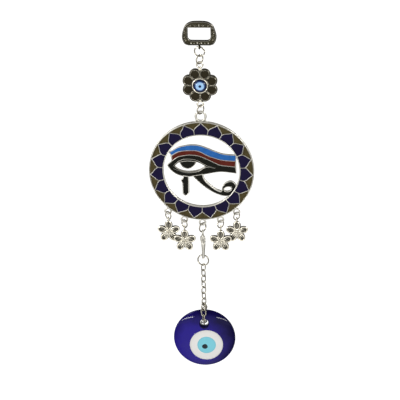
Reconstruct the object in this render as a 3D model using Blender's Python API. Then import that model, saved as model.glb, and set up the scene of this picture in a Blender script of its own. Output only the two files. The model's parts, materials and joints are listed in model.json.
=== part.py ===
"""Hanging evil eye ornament: hanger, rosette, round amulet, flower charms, clasp, chain and bead.

The front faces -Y and it hangs along -Z from the underside of the hanger's top bar, which is Z = 0.
Sizes are millimetres and become metres when a mesh is made.
"""
import math

import bmesh
import bpy
from mathutils import Vector

MM = 0.001

# Fits
WIRE_GAP = 0.10  # between two wires that hang in each other
FILL_GAP = 0.06  # between a fill or a stone and its cup
LUG_PLAY = 0.85  # how much wider a lug is than its ring's wire needs
HANGER_LUG_PLAY = 0.35  # the same, for the hanger's tail

# Hanger
HANGER_HALF_WIDTH = 10.3
HANGER_TOP = 4.1
HANGER_BOTTOM = 11.3
HANGER_THICKNESS = 2.0
WINDOW_WIDTH = 13.6
WINDOW_HEIGHT = 8.1
WINDOW_CORNER = 2.2
HANGER_LUG_DROP = 0.75  # from the plate's lower edge to the tail's centre

# Wire rings: radius of the wire's centre line, radius of the wire
BIG_RING = (3.1, 0.42)
MID_RING = (2.75, 0.42)
END_RING = (3.3, 0.42)
CHARM_RING = (2.35, 0.38)
LUG_WIRE = 0.55
MID_YAW = 50.0
BIG_YAW = -12.0

# Rosette
PETALS = 8
PETAL_ORBIT = 7.35
PETAL_RADIUS = 3.65
CUP_RADIUS = 2.6
CUP_DEPTH = 0.9
ROSETTE_THICKNESS = 2.2
BEZEL_RADIUS = 4.9
STONE_RADIUS = 4.1
STONE_HEIGHT = 1.5
STONE_IRIS = 2.8
STONE_PUPIL = 0.95
ROSETTE_LUG_REACH = 3.95  # from the notch between two petals to the upper lug's centre
ROSETTE_LOW_REACH = 3.15  # the same, for the lower lug

# Amulet ring
RING_OUTER = 31.65
RING_INNER = 22.7
RING_THICKNESS = 2.4
OUTER_RIM = 0.7
INNER_RIM = 0.75
LOTUS = 19
WALL = 0.5
VALLEY_SHARE = 0.34
ENAMEL_DEPTH = 0.8
NECK = 0.4  # where enamel runs round the end of a wall
TOP_LUG_RADIUS = 2.95
TOP_LUG_WIRE = 0.75
LUG_MERGE = 0.5  # how deep a cast lug sinks in the rim

# Eye of Horus, its plate and its fills
EYE_THICKNESS = 2.0
EYE_EDGE = 0.7
EYE_LINE = 0.3
RIM_MARGIN = 0.2  # the eye's cups stay this far inside the ring's inner edge

# Charms
CHARM_ORBIT = 3.9
CHARM_PETAL = (3.0, 2.4)  # half length, half width
CHARM_THICKNESS = 1.6
CHARM_LOOP = 1.35
CHARM_OFFSET = 1.0  # the inner charms hang this much in front, the outer ones behind

# Clasp
CLASP_LENGTH = 16.2  # from the eyelet's centre to the claw's lowest wire centre
CLAW_HALF = 2.3
CLAW_WIRE = 0.8
CLAW_TIP_WIRE = 0.55
CLASP_EYE = (1.45, 0.45)
CLASP_YAW = 100.0
RIVET_RADIUS = 0.45
RIVET_GAP = 0.08
LEVER_WIDTH = 1.1
SLOT_GAP = 0.12
HEAD_THICKNESS = 3.4

# Chain
LINK_LENGTH = 5.2
LINK_WIDTH = 3.7
LINK_WIRE = 0.35
HANGING_LINKS = 7
LINK_YAW = 45.0

# Bead
BEAD_HALF_WIDTH = 18.6
BEAD_HALF_HEIGHT = 18.2
BEAD_HALF_THICKNESS = 3.6
BEAD_HOLE = 2.3
BEAD_HOLE_DROP = 8.2  # from the bead's top edge to the hole's centre
FORK_SPREAD = 0.26  # the loop's two ends lie this far apart, twice, on the forked link
FORK_LIFT = 0.2
LOOP_GAP = 0.32  # slack between links of the loop, which bend sharply
LOOP_TURNS = (40.0, 88.0)  # how steeply the loop leaves the hole, link by link
EYE_WHITE = (9.95, 1.2, -3.9)  # radius, and its centre from the bead's centre
EYE_BLUE = (5.7, 1.3, -3.7)
EYE_DOT = (1.75, 0.3, -4.6)

WIRE_SIDES = 6
LINK_STEPS = 5


# ---- making objects -------------------------------------------------------------------------

def material(name, color, roughness, metallic):
    found = bpy.data.materials.get(name)
    if found:
        return found
    made = bpy.data.materials.new(name)
    made.use_nodes = True
    shader = made.node_tree.nodes["Principled BSDF"]
    shader.inputs["Base Color"].default_value = (*color, 1.0)
    shader.inputs["Roughness"].default_value = roughness
    shader.inputs["Metallic"].default_value = metallic
    made.diffuse_color = (*color, 1.0)
    return made


def silver():
    return material("antique_silver", (0.60, 0.58, 0.52), 0.32, 1.0)


def dark_metal():
    return material("dark_metal", (0.10, 0.09, 0.06), 0.45, 1.0)


def enamel(name, color):
    return material(name, color, 0.25, 0.0)


def to_object(bm, name, skin):
    """An object from a mesh in millimetres."""
    bmesh.ops.recalc_face_normals(bm, faces=bm.faces)
    mesh = bpy.data.meshes.new(name)
    bm.to_mesh(mesh)
    bm.free()
    mesh.materials.append(skin)
    made = bpy.data.objects.new(name, mesh)
    bpy.context.scene.collection.objects.link(made)
    return made


def combine(operation, target, others):
    """The target with other objects joined to it or cut from it; the others are used up."""
    for other in others:
        step = target.modifiers.new(operation, "BOOLEAN")
        step.operation = operation
        step.object = other
    graph = bpy.context.evaluated_depsgraph_get()
    mesh = bpy.data.meshes.new_from_object(target.evaluated_get(graph))
    target.modifiers.clear()
    target.data = mesh
    for other in others:
        bpy.data.objects.remove(other)
    return target


def clean(made):
    """Joins points that lie closer than two micrometres, and faces that lie in one plane."""
    bm = bmesh.new()
    bm.from_mesh(made.data)
    bmesh.ops.remove_doubles(bm, verts=bm.verts, dist=0.002)
    bmesh.ops.dissolve_degenerate(bm, edges=bm.edges, dist=0.001)
    bmesh.ops.dissolve_limit(bm, angle_limit=math.radians(0.5), verts=bm.verts, edges=bm.edges)
    bmesh.ops.triangulate(bm, faces=bm.faces)
    bm.to_mesh(made.data)
    bm.free()
    return made


def finish(made, pivot, sharp=38.0):
    """Puts the origin on the piece's joint, changes millimetres to metres and shades it."""
    origin = Vector(pivot)
    for vertex in made.data.vertices:
        vertex.co = (vertex.co - origin) * MM
    made.location = origin * MM
    made.data.shade_smooth()
    made.data.set_sharp_from_angle(angle=math.radians(sharp))
    return made


# ---- shapes ---------------------------------------------------------------------------------

def tube(path, radii, closed, normal, sides=WIRE_SIDES):
    """A round wire along a path, with a radius at each point and flat ends where it is open."""
    bm = bmesh.new()
    count = len(path)
    across = Vector(normal).normalized()
    rings = []
    for i, point in enumerate(path):
        before = path[i - 1] if i or closed else path[i]
        after = path[(i + 1) % count] if i < count - 1 or closed else path[i]
        along = (Vector(after) - Vector(before)).normalized()
        across = (across - along * across.dot(along)).normalized()
        other = along.cross(across)
        turns = [2 * math.pi * k / sides for k in range(sides)]
        rings.append([
            bm.verts.new(Vector(point) + radii[i] * (math.cos(t) * across + math.sin(t) * other))
            for t in turns
        ])
    for i in range(count if closed else count - 1):
        a, b = rings[i], rings[(i + 1) % count]
        for k in range(sides):
            bm.faces.new((a[k], a[(k + 1) % sides], b[(k + 1) % sides], b[k]))
    if not closed:
        bm.faces.new(rings[0])
        bm.faces.new(rings[-1])
    return bm


def oval(centre, radius, half_straight, down, side, steps):
    """Points of a ring or a link: two half circles, and straight sides between them."""
    points = []
    for end in (1, -1):
        for k in range(steps + (half_straight > 0)):
            t = math.pi * k / steps
            points.append(
                Vector(centre) + Vector(side) * (end * radius * math.cos(t))
                - Vector(down) * (end * (half_straight + radius * math.sin(t)))
            )
    return points


def heading(yaw):
    """The level direction in which a ring lies when it is turned by yaw degrees from the front."""
    return Vector((math.cos(math.radians(yaw)), math.sin(math.radians(yaw)), 0.0))


DOWN = Vector((0.0, 0.0, -1.0))


def wire_ring(centre, size, yaw, steps=8):
    side = heading(yaw)
    path = oval(centre, size[0], 0.0, DOWN, side, steps)
    return tube(path, [size[1]] * len(path), True, side.cross(DOWN))


def plate(outline, holes, front, back):
    """A flat plate in the XZ plane, with holes through it."""
    bm = bmesh.new()
    edges = []
    for loop in (outline, *holes):
        corners = [bm.verts.new((x, front, z)) for x, z in loop]
        edges += [
            bm.edges.new((corners[i], corners[(i + 1) % len(corners)])) for i in range(len(corners))
        ]
    bmesh.ops.triangle_fill(bm, use_beauty=True, use_dissolve=False, edges=edges, normal=(0, -1, 0))
    grown = bmesh.ops.extrude_face_region(bm, geom=bm.faces[:])["geom"]
    moved = [v for v in grown if isinstance(v, bmesh.types.BMVert)]
    bmesh.ops.translate(bm, verts=moved, vec=(0, back - front, 0))
    return bm


def relief(outline, holes, pockets, front, floor, back):
    """A plate with holes through it and pockets let into its front; a pocket is (outline, holes)."""
    bm = bmesh.new()

    def loop(points, y):
        return [bm.verts.new((x, y, z)) for x, z in points]

    def edges_of(loops):
        pairs = [(c[i - 1], c[i]) for c in loops for i in range(len(c))]
        return [bm.edges.get(pair) or bm.edges.new(pair) for pair in pairs]

    def fill(loops):
        bmesh.ops.triangle_fill(bm, use_beauty=True, use_dissolve=False, edges=edges_of(loops),
                                normal=(0, -1, 0))

    def wall(a, b):
        for i in range(len(a)):
            bm.faces.new((a[i - 1], a[i], b[i], b[i - 1]))

    through = [(loop(points, front), loop(points, back)) for points in (outline, *holes)]
    sunk = [
        [(loop(points, front), loop(points, floor)) for points in (edge, *islands)]
        for edge, islands in pockets
    ]
    fill([a for a, _ in through] + [a for pocket in sunk for a, _ in pocket])
    fill([b for _, b in through])
    for pocket in sunk:
        fill([b for _, b in pocket])
    for a, b in through + [pair for pocket in sunk for pair in pocket]:
        wall(a, b)
    return bm


def turned(profile, centre, sides):
    """A body turned round the Y direction; the profile is (radius, y) and may start or end at 0."""
    bm = bmesh.new()
    x0, z0 = centre
    rings = []
    for radius, y in profile:
        if radius == 0:
            rings.append([bm.verts.new((x0, y, z0))] * sides)
            continue
        turns = [2 * math.pi * k / sides for k in range(sides)]
        rings.append([
            bm.verts.new((x0 + radius * math.cos(t), y, z0 + radius * math.sin(t))) for t in turns
        ])
    for a, b in zip(rings, rings[1:]):
        for k in range(sides):
            corners = [a[k], a[(k + 1) % sides], b[(k + 1) % sides], b[k]]
            bm.faces.new(list(dict.fromkeys(corners)))
    return bm


def circle(x, z, radius, count, start=0.0):
    turns = [start + 2 * math.pi * k / count for k in range(count)]
    return [(x + radius * math.cos(t), z + radius * math.sin(t)) for t in turns]


def smooth(points, steps):
    """Points along a curve that passes through the given ones."""
    ends = [points[0], *points, points[-1]]
    curve = []
    for i in range(len(points) - 1):
        p0, p1, p2, p3 = (Vector(p) for p in ends[i:i + 4])
        for k in range(steps):
            t = k / steps
            curve.append(
                0.5 * (2 * p1 + (p2 - p0) * t + (2 * p0 - 5 * p1 + 4 * p2 - p3) * t * t
                       + (3 * p1 - p0 - 3 * p2 + p3) * t ** 3)
            )
    curve.append(Vector(points[-1]))
    return [tuple(p) for p in curve]


def area(outline):
    pairs = zip(outline, outline[1:] + outline[:1])
    return 0.5 * sum(a[0] * b[1] - b[0] * a[1] for a, b in pairs)


def inset(outline, distance):
    """The outline moved inward by a distance, or outward where it is negative."""
    turn = 1.0 if area(outline) > 0 else -1.0
    count = len(outline)
    moved = []
    for i in range(count):
        before, here, after = (Vector(outline[j % count]) for j in (i - 1, i, i + 1))
        a = (here - before).normalized()
        b = (after - here).normalized()
        normal_a = Vector((-a.y, a.x)) * turn
        normal_b = Vector((-b.y, b.x)) * turn
        middle = (normal_a + normal_b).normalized()
        reach = distance / max(0.5, middle.dot(normal_a))
        moved.append(tuple(here + middle * reach))
    return moved


# ---- how rings hang in each other -----------------------------------------------------------

def rise(upper, lower, turn):
    """How far the lower loop's top wire centre stays above the upper loop's bottom wire centre.

    Each loop is (radius of its centre line, wire radius), and turn is the angle between them. The
    lower one is raised until the two wires clear each other all along.
    """
    need = upper[1] + lower[1] + WIRE_GAP
    samples = [math.radians(4 * k) for k in range(-20, 21)]
    low = [(upper[0] * math.sin(a), upper[0] * (1 - math.cos(a))) for a in samples]
    cosine = math.cos(math.radians(turn))
    height = need
    while height < upper[0] * 2:
        least = min(
            math.dist(
                (s, 0, z),
                (lower[0] * math.sin(b) * cosine,
                 lower[0] * math.sin(b) * math.sqrt(1 - cosine * cosine),
                 height - lower[0] * (1 - math.cos(b))),
            )
            for s, z in low for b in samples
        )
        if least >= need - 0.005:
            break
        height += 0.02
    return height


def hang(hook_z, upper, lower, turn):
    """The centre height of a loop that hangs from the wire whose lowest centre is hook_z."""
    return hook_z + rise(upper, lower, turn) - lower[0]


# ---- layout, from the top down --------------------------------------------------------------

LINK = (LINK_WIDTH / 2 - LINK_WIRE, LINK_WIRE)
LINK_STRAIGHT = (LINK_LENGTH - LINK_WIDTH) / 2
PITCH = LINK_LENGTH - 4 * LINK_WIRE - WIRE_GAP
HANGER_LUG = (LUG_WIRE + BIG_RING[1] + HANGER_LUG_PLAY, LUG_WIRE)
LUG = (LUG_WIRE + MID_RING[1] + LUG_PLAY, LUG_WIRE)
CHARM_LUG = (LUG_WIRE + CHARM_RING[1] + LUG_PLAY, LUG_WIRE)
CHARM_EYE = (CHARM_LOOP, LUG_WIRE * 0.7)
TOP_LUG = (TOP_LUG_RADIUS, TOP_LUG_WIRE)
NOTCH = (
    PETAL_ORBIT * math.cos(math.pi / PETALS)
    + math.sqrt(PETAL_RADIUS ** 2 - (PETAL_ORBIT * math.sin(math.pi / PETALS)) ** 2)
)

LUG_Z = -HANGER_BOTTOM - HANGER_LUG_DROP  # the hanger lug's centre
HANGER_HOOK = LUG_Z - HANGER_LUG[0]
RING1_Z = hang(HANGER_HOOK, HANGER_LUG, BIG_RING, 90 - BIG_YAW)
RING1_HOOK = RING1_Z - BIG_RING[0]
RING2_Z = hang(RING1_HOOK, BIG_RING, MID_RING, MID_YAW - BIG_YAW)
RING2_HOOK = RING2_Z - MID_RING[0]
ROSETTE_LUG_Z = hang(RING2_HOOK, MID_RING, LUG, MID_YAW)
ROSETTE_Z = ROSETTE_LUG_Z - ROSETTE_LUG_REACH - NOTCH
ROSETTE_LOW_Z = ROSETTE_Z - ROSETTE_LOW_REACH - NOTCH
ROSETTE_HOOK = ROSETTE_LOW_Z - LUG[0]
RING3_Z = hang(ROSETTE_HOOK, LUG, MID_RING, MID_YAW)
RING3_HOOK = RING3_Z - MID_RING[0]
TOP_LUG_Z = hang(RING3_HOOK, MID_RING, TOP_LUG, MID_YAW)
RING_Z = TOP_LUG_Z - TOP_LUG_RADIUS - TOP_LUG_WIRE + LUG_MERGE - RING_OUTER
CHARM_LUG_ORBIT = RING_OUTER + CHARM_LUG[0] + CHARM_LUG[1] - LUG_MERGE

LUG_ANGLES = [k * 360.0 / LOTUS for k in (-2, -1, 0, 1, 2)]  # from straight down, +X positive
CLASP_LUG_Z = RING_Z - CHARM_LUG_ORBIT
CLASP_RING_HOOK = CLASP_LUG_Z - CHARM_LUG[0]
CLASP_RING_Z = hang(CLASP_RING_HOOK, CHARM_LUG, MID_RING, MID_YAW)
CLASP_HOOK = CLASP_RING_Z - MID_RING[0]
CLASP_Z = hang(CLASP_HOOK, MID_RING, CLASP_EYE, CLASP_YAW - MID_YAW)
CLAW_LOW_Z = CLASP_Z - CLASP_LENGTH
END_RING_Z = CLAW_LOW_Z + CLAW_WIRE + END_RING[1] + WIRE_GAP - END_RING[0]
END_RING_HOOK = END_RING_Z - END_RING[0]
LINK_TOP_Z = END_RING_HOOK + rise(END_RING, LINK, LINK_YAW - BIG_YAW)


def link_hook(k):
    """The height of the wire centre from which hanging link k hangs, counted from 0."""
    first = LINK_TOP_Z - 2 * (LINK[0] + LINK_STRAIGHT)
    return END_RING_HOOK if k == 0 else first - PITCH * (k - 1)


LOOP_PITCH = LINK_LENGTH - 4 * LINK_WIRE - LOOP_GAP


def loop_joints(hole_z):
    """Where the front links of the loop meet, from the hole's middle up to the straight run."""
    points = [Vector((0, -LOOP_PITCH / 2, hole_z + BEAD_HOLE - LINK[0] - LINK_WIRE - WIRE_GAP))]
    for turn in LOOP_TURNS:
        a = math.radians(turn)
        points.append(points[-1] + Vector((0, -math.cos(a), math.sin(a))) * LOOP_PITCH)
    return points


FORK_Z = link_hook(HANGING_LINKS)  # the forked link holds both ends of the loop
FORK = Vector((0, 0, FORK_Z + LINK_WIRE + FORK_LIFT)) - heading(LINK_YAW) * (LINK_WIRE + FORK_SPREAD)
RUN_START = loop_joints(0.0)[-1]
RUN_RISE = math.sqrt((2 * LOOP_PITCH) ** 2 - FORK.x ** 2 - (FORK.y - RUN_START.y) ** 2)
HOLE_Z = FORK.z - RUN_RISE - RUN_START.z
BEAD_TOP_Z = HOLE_Z + BEAD_HOLE_DROP
BEAD_Z = BEAD_TOP_Z - BEAD_HALF_HEIGHT


# ---- hanger ---------------------------------------------------------------------------------

def hanger():
    w, t, b = HANGER_HALF_WIDTH, HANGER_TOP, HANGER_BOTTOM
    right = smooth([(0, t), (w * 0.43, t * 0.93), (w * 0.7, t * 0.6), (w * 0.85, t * 0.13),
                    (w * 0.95, -b * 0.21), (w, -b * 0.42), (w, -b * 0.6), (w * 0.94, -b * 0.79),
                    (w * 0.83, -b * 0.93), (w * 0.63, -b)], 2)
    outline = right + [(-x, z) for x, z in reversed(right[1:])]
    half, low = WINDOW_WIDTH / 2, -WINDOW_HEIGHT
    corner = [math.radians(a) for a in range(0, 91, 30)]
    window = [(-half, 0), (half, 0)]
    for side, turns in ((1, corner), (-1, corner[::-1])):
        window += [
            (side * (half - WINDOW_CORNER * (1 - math.cos(a))), low + WINDOW_CORNER * (1 - math.sin(a)))
            for a in turns
        ]
    depth = HANGER_THICKNESS / 2
    made = to_object(plate(outline, [window], -depth, depth), "hanger_plate", dark_metal())
    lug = to_object(wire_ring((0, 0, LUG_Z), HANGER_LUG, 90, 8), "lug", dark_metal())
    return finish(clean(combine("UNION", made, [lug])), (0, 0, 0))


def sprung_ring():
    """The hanger ring: most of a circle, and an end that stands off to the upper right."""
    radius, wire = BIG_RING
    side = heading(BIG_YAW)
    normal = side.cross(DOWN)
    path = []
    for k in range(20):
        t = math.radians(40 - k * 15.3)  # clockwise from the upper right, seen from the front
        lift = 0.35 * (1 - k / 19)
        path.append(
            Vector((0, 0, RING1_Z)) + side * (radius * math.cos(t)) - DOWN * (radius * math.sin(t))
            + normal * lift
        )
    for along, up, lift in ((-0.02, 1.0, 0.0), (0.28, 0.98, -0.15), (0.6, 0.84, -0.55),
                            (0.9, 0.6, -0.85), (1.15, 0.28, -1.0)):
        path.append(
            Vector((0, 0, RING1_Z)) + side * (radius * along) - DOWN * (radius * up)
            + normal * lift
        )
    made = to_object(tube(path, [wire] * len(path), False, normal), "hanger_ring", silver())
    return finish(made, (0, 0, HANGER_HOOK))


def ring(name, centre, size, yaw, hook):
    made = to_object(wire_ring(centre, size, yaw), name, silver())
    return finish(made, hook)


# ---- rosette --------------------------------------------------------------------------------

def rosette(pivot):
    outline = []
    steps = 5
    for k in range(PETALS * steps):
        turn = 2 * math.pi * k / (PETALS * steps)
        off = (turn % (2 * math.pi / PETALS)) - math.pi / PETALS
        reach = PETAL_ORBIT * math.cos(off) + math.sqrt(
            PETAL_RADIUS ** 2 - (PETAL_ORBIT * math.sin(off)) ** 2
        )
        outline.append((reach * math.cos(turn), ROSETTE_Z + reach * math.sin(turn)))
    front, back = -ROSETTE_THICKNESS / 2, ROSETTE_THICKNESS / 2
    made = to_object(plate(outline, [], front, back), "rosette_setting", silver())
    bezel = [(0, 0), (BEZEL_RADIUS, 0), (BEZEL_RADIUS, front - 0.5), (0, front - 0.5)]
    lugs = [to_object(turned(bezel, (0, ROSETTE_Z), 24), "bezel", silver())]
    for centre in (ROSETTE_LUG_Z, ROSETTE_LOW_Z):
        lugs.append(to_object(wire_ring((0, 0, centre), LUG, 0), "lug", silver()))
        up = 1 if centre > ROSETTE_Z else -1
        inner = ROSETTE_Z + up * (NOTCH - 0.8)
        outer = centre - up * LUG[0]
        arm = [(-1.7, inner), (1.7, inner), (0.9, outer), (-0.9, outer)]
        lugs.append(to_object(plate(arm, [], -0.5, 0.5), "arm", silver()))
    combine("UNION", made, lugs)
    cups = []
    for k in range(PETALS):
        turn = 2 * math.pi * (k + 0.5) / PETALS
        cups.append(to_object(plate(fill_outline(turn, 0), [], front - 1, front + CUP_DEPTH),
                              "cup", silver()))
    stone = [(0, front - 1), (STONE_RADIUS + FILL_GAP, front - 1),
             (STONE_RADIUS + FILL_GAP, front + 0.3), (0, front + 0.3)]
    cups.append(to_object(turned(stone, (0, ROSETTE_Z), 24), "seat", silver()))
    finish(clean(combine("DIFFERENCE", made, cups)), pivot)
    for k in range(PETALS):
        turn = 2 * math.pi * (k + 0.5) / PETALS
        shape = plate(fill_outline(turn, FILL_GAP), [], front + 0.25, front + CUP_DEPTH - FILL_GAP)
        fill = to_object(shape, f"rosette_petal_fill_{k + 1}", enamel("olive_fill", (0.06, 0.05, 0.03)))
        finish(fill, pivot)


def fill_outline(turn, gap):
    """A petal's cup: its circle, cut off by the bezel's circle."""
    orbit, radius, keep = PETAL_ORBIT + 0.12, CUP_RADIUS - gap, BEZEL_RADIUS + 0.15 + gap
    points = []
    for k in range(16):
        a = 2 * math.pi * k / 16
        x, z = orbit + radius * math.cos(a), radius * math.sin(a)
        length = math.hypot(x, z)
        push = max(1.0, keep / length)
        points.append((x * push, z * push))
    c, s = math.cos(turn), math.sin(turn)
    return [(x * c - z * s, ROSETTE_Z + x * s + z * c) for x, z in points]


def dome(radius, base, height, rho):
    """The front of a dome: its Y at a distance from the axis."""
    return base - height * (1 - (rho / radius) ** 2)


def rosette_stone(pivot):
    floor = -ROSETTE_THICKNESS / 2 + 0.3 - FILL_GAP
    edge = -ROSETTE_THICKNESS / 2 - 0.3

    def layer(name, outer, inner, back, pocket, skin):
        front = [dome(STONE_RADIUS, edge, STONE_HEIGHT - 0.4, r) for r in (outer, inner)]
        profile = [(0, back), (outer, back), (outer, front[0])]
        if inner:
            middle = (outer + inner) / 2
            profile += [(middle, dome(STONE_RADIUS, edge, STONE_HEIGHT - 0.4, middle)),
                        (inner, front[1]), (inner, pocket), (0, pocket)]
        else:
            profile += [(outer / 2, dome(STONE_RADIUS, edge, STONE_HEIGHT - 0.4, outer / 2)),
                        (0, front[1])]
        made = to_object(turned(profile, (0, ROSETTE_Z), 24), name, skin)
        finish(made, pivot)

    layer("rosette_eye_glass", STONE_RADIUS, STONE_IRIS, floor, edge, enamel("navy_glass", (0.01, 0.015, 0.06)))
    layer("rosette_eye_iris", STONE_IRIS - FILL_GAP, STONE_PUPIL, edge - FILL_GAP, edge - 0.4,
          enamel("pale_blue", (0.45, 0.65, 0.85)))
    layer("rosette_eye_pupil", STONE_PUPIL - FILL_GAP, 0, edge - 0.4 - FILL_GAP, 0,
          enamel("navy_glass", (0.01, 0.015, 0.06)))


# ---- amulet ---------------------------------------------------------------------------------

FIELD = (RING_INNER + INNER_RIM, RING_OUTER - OUTER_RIM)
VALLEY = FIELD[0] + (FIELD[1] - FIELD[0]) * VALLEY_SHARE
APEX = FIELD[1] - NECK - WALL / 2


def polar(radius, turn):
    """A point at a radius from the amulet's centre, and an angle in degrees from straight up."""
    a = math.radians(turn)
    return radius * math.sin(a), RING_Z + radius * math.cos(a)


def navy_outline(gap):
    """Lotus petals joined at the inner rim, with a slot for each stem wall between them."""
    points = []
    half = math.degrees((WALL / 2 + gap) / VALLEY)
    low = FIELD[0] + NECK - gap
    pitch = 360.0 / LOTUS
    share = 0.5
    for k in range(LOTUS):
        centre = k * pitch
        reach = APEX - VALLEY
        flank = VALLEY + reach * share
        drop = WALL * 0.8 + gap
        points += [
            polar(APEX - drop, centre),
            polar(flank - drop, centre + pitch * 0.25),
            polar(VALLEY - drop * 0.4, centre + pitch / 2 - half),
            polar(low, centre + pitch / 2 - half),
            polar(low, centre + pitch / 2 + half),
            polar(VALLEY - drop * 0.4, centre + pitch / 2 + half),
            polar(flank - drop, centre + pitch * 0.75),
        ]
    return points


def bronze_outline(gap):
    """The inner edge of the bronze enamel: triangles between the lotus points."""
    points = []
    pitch = 360.0 / LOTUS
    drop = WALL * 0.8 + gap
    for k in range(LOTUS):
        centre = k * pitch
        reach = APEX - VALLEY
        points += [
            polar(APEX + WALL / 2 + gap, centre),
            polar(VALLEY + reach * 0.5 + drop, centre + pitch * 0.25),
            polar(VALLEY + drop * 1.4, centre + pitch / 2),
            polar(VALLEY + reach * 0.5 + drop, centre + pitch * 0.75),
        ]
    return points


def amulet_circle(radius, count):
    return circle(0, RING_Z, radius, count, math.pi / 2)


BROW_TOP = [(-19.4, 11.6), (-14.2, 14.8), (-10.0, 16.0), (-5.8, 16.6), (-1.2, 16.2), (3.7, 14.5),
            (8.5, 12.4), (13.4, 10.8), (21.0, 10.1)]
BROW_MIDDLE = [(-17.9, 9.7), (-14.2, 12.0), (-10.0, 12.9), (-4.5, 13.05), (-1.2, 12.5), (3.7, 9.9),
               (8.5, 8.1), (13.4, 6.9), (20.6, 6.4)]
BROW_LOW = [(-17.8, 6.2), (-14.2, 8.8), (-10.0, 9.9), (-5.8, 10.2), (-1.2, 9.5), (3.7, 7.4),
            (8.5, 5.0), (11.8, 3.7), (20.4, 2.7)]
EYE_LOW = [(-20.3, 3.4), (-17.5, -0.3), (-13.3, -2.8), (-7.7, -3.65), (-2.9, -2.8), (2.0, -2.1),
           (8.5, -0.8), (13.4, -0.5), (20.9, -1.4)]
OPENING_TOP_LEFT = [(-16.0, 2.7), (-14.7, 4.3), (-13.1, 5.5)]
OPENING_IRIS = [(-13.1, 5.5), (-11.6, 2.8), (-8.1, 1.4), (-4.9, 2.9), (-3.0, 5.75)]
OPENING_TOP_RIGHT = [(-3.0, 5.75), (-0.4, 4.6), (2.4, 2.9)]
OPENING_LOW = [(2.4, 2.9), (-1.9, 0.4), (-7.7, -0.5), (-12.6, 0.4), (-16.0, 2.7)]
LID_LINE_TOP = [(-17.9, 1.9), (-13.3, 6.4), (-8.4, 7.6), (-2.9, 6.8), (3.0, 3.5), (9.8, 1.45)]
LID_LINE_LOW = [(9.8, 1.25), (3.0, 2.3), (-1.9, -0.3), (-7.7, -1.2), (-12.6, -0.3), (-17.9, 1.7)]
STEM = [(-8.0, -3.35), (-7.6, -5.0), (-7.5, -14.0), (-8.6, -15.6), (-10.1, -16.2), (-11.6, -15.0),
        (-11.7, -8.2), (-12.6, -6.0), (-11.4, -4.9), (-11.2, -2.9)]
LEG_OUTER = [(-5.9, -3.1), (-1.2, -8.0), (3.7, -11.9), (8.5, -14.7), (13.4, -16.2), (17.4, -15.7),
             (20.0, -13.2), (20.8, -10.1), (19.7, -7.6), (17.0, -6.5), (13.7, -8.0), (12.2, -10.4),
             (12.0, -12.3)]
LEG_INNER = [(11.6, -12.9), (8.5, -11.6), (5.3, -9.1), (2.0, -5.6), (0.8, -1.95)]
LEG_ROOT = (-2.9, -2.6)  # on the eye's lower edge, between the two sides of the leg
CURL_HOLE = (15.6, -11.7, 2.1, 1.3)  # centre, half length, half height


def place(points):
    return [(x, RING_Z + z) for x, z in points]


def eye_opening():
    return (smooth(OPENING_TOP_LEFT, 1)[:-1] + smooth(OPENING_IRIS, 2)[:-1]
            + smooth(OPENING_TOP_RIGHT, 1)[:-1] + smooth(OPENING_LOW, 2)[:-1])


def eye_outline():
    upper = smooth(BROW_TOP, 2)
    lower = smooth(EYE_LOW, 2)
    return upper + list(reversed(lower)) + [BROW_LOW[0]]


def within(outline, limit):
    """The outline with every point kept within a radius of the amulet's centre."""
    return [(x * share, z * share) for x, z in outline
            for share in (min(1.0, limit / math.hypot(x, z)),)]


def leg_outline():
    return smooth(LEG_OUTER, 2) + smooth(LEG_INNER, 2) + [LEG_ROOT]


def curl_hole(grow):
    x, z, a, b = CURL_HOLE
    tilt = math.radians(18)
    points = []
    for u, v in circle(0, 0, 1, 12):
        p, q = (a + grow) * u, (b + grow) * v
        points.append((x + p * math.cos(tilt) - q * math.sin(tilt),
                       z + p * math.sin(tilt) + q * math.cos(tilt)))
    return points


def fills(gap):
    """Each fill of the eye: its name, outline and holes, smaller than its cup by the gap."""
    edge, line = EYE_EDGE + gap, EYE_LINE + gap
    limit = RING_INNER - RIM_MARGIN - gap
    blue = smooth(BROW_TOP, 2)[1:] + list(reversed(smooth(BROW_MIDDLE, 2)))
    red = smooth(BROW_MIDDLE, 2) + list(reversed(smooth(BROW_LOW, 2)))
    black = (smooth([EYE_LOW[0], *BROW_LOW], 2)[1:] + list(reversed(smooth(EYE_LOW, 2)))[:-1])
    lids = smooth(LID_LINE_TOP, 2) + smooth(LID_LINE_LOW, 2)
    iris = smooth(OPENING_IRIS, 2)
    leg = leg_outline()
    return [
        ("brow_fill_blue", within(inset(blue, edge * 0.75), limit), [], enamel("brow_blue", (0.02, 0.11, 0.33))),
        ("brow_fill_red", within(inset(red, line), limit), [], enamel("brow_red", (0.12, 0.012, 0.006))),
        ("eye_fill_black", inset(black, line + 0.15), [inset(lids, -gap)],
         enamel("eye_black", (0.012, 0.012, 0.008))),
        ("iris_fill_black", inset(iris, line + 0.15), [], enamel("eye_black", (0.012, 0.012, 0.008))),
        ("stem_fill_black", inset(STEM_TRIMMED, edge * 0.9), [],
         enamel("eye_black", (0.012, 0.012, 0.008))),
        ("leg_fill_black", within(inset(leg, edge * 0.85), limit), [curl_hole(EYE_EDGE * 0.6 + gap)],
         enamel("eye_black", (0.012, 0.012, 0.008))),
    ]


STEM_TRIMMED = [(x, min(z, -3.6)) for x, z in STEM]


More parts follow.
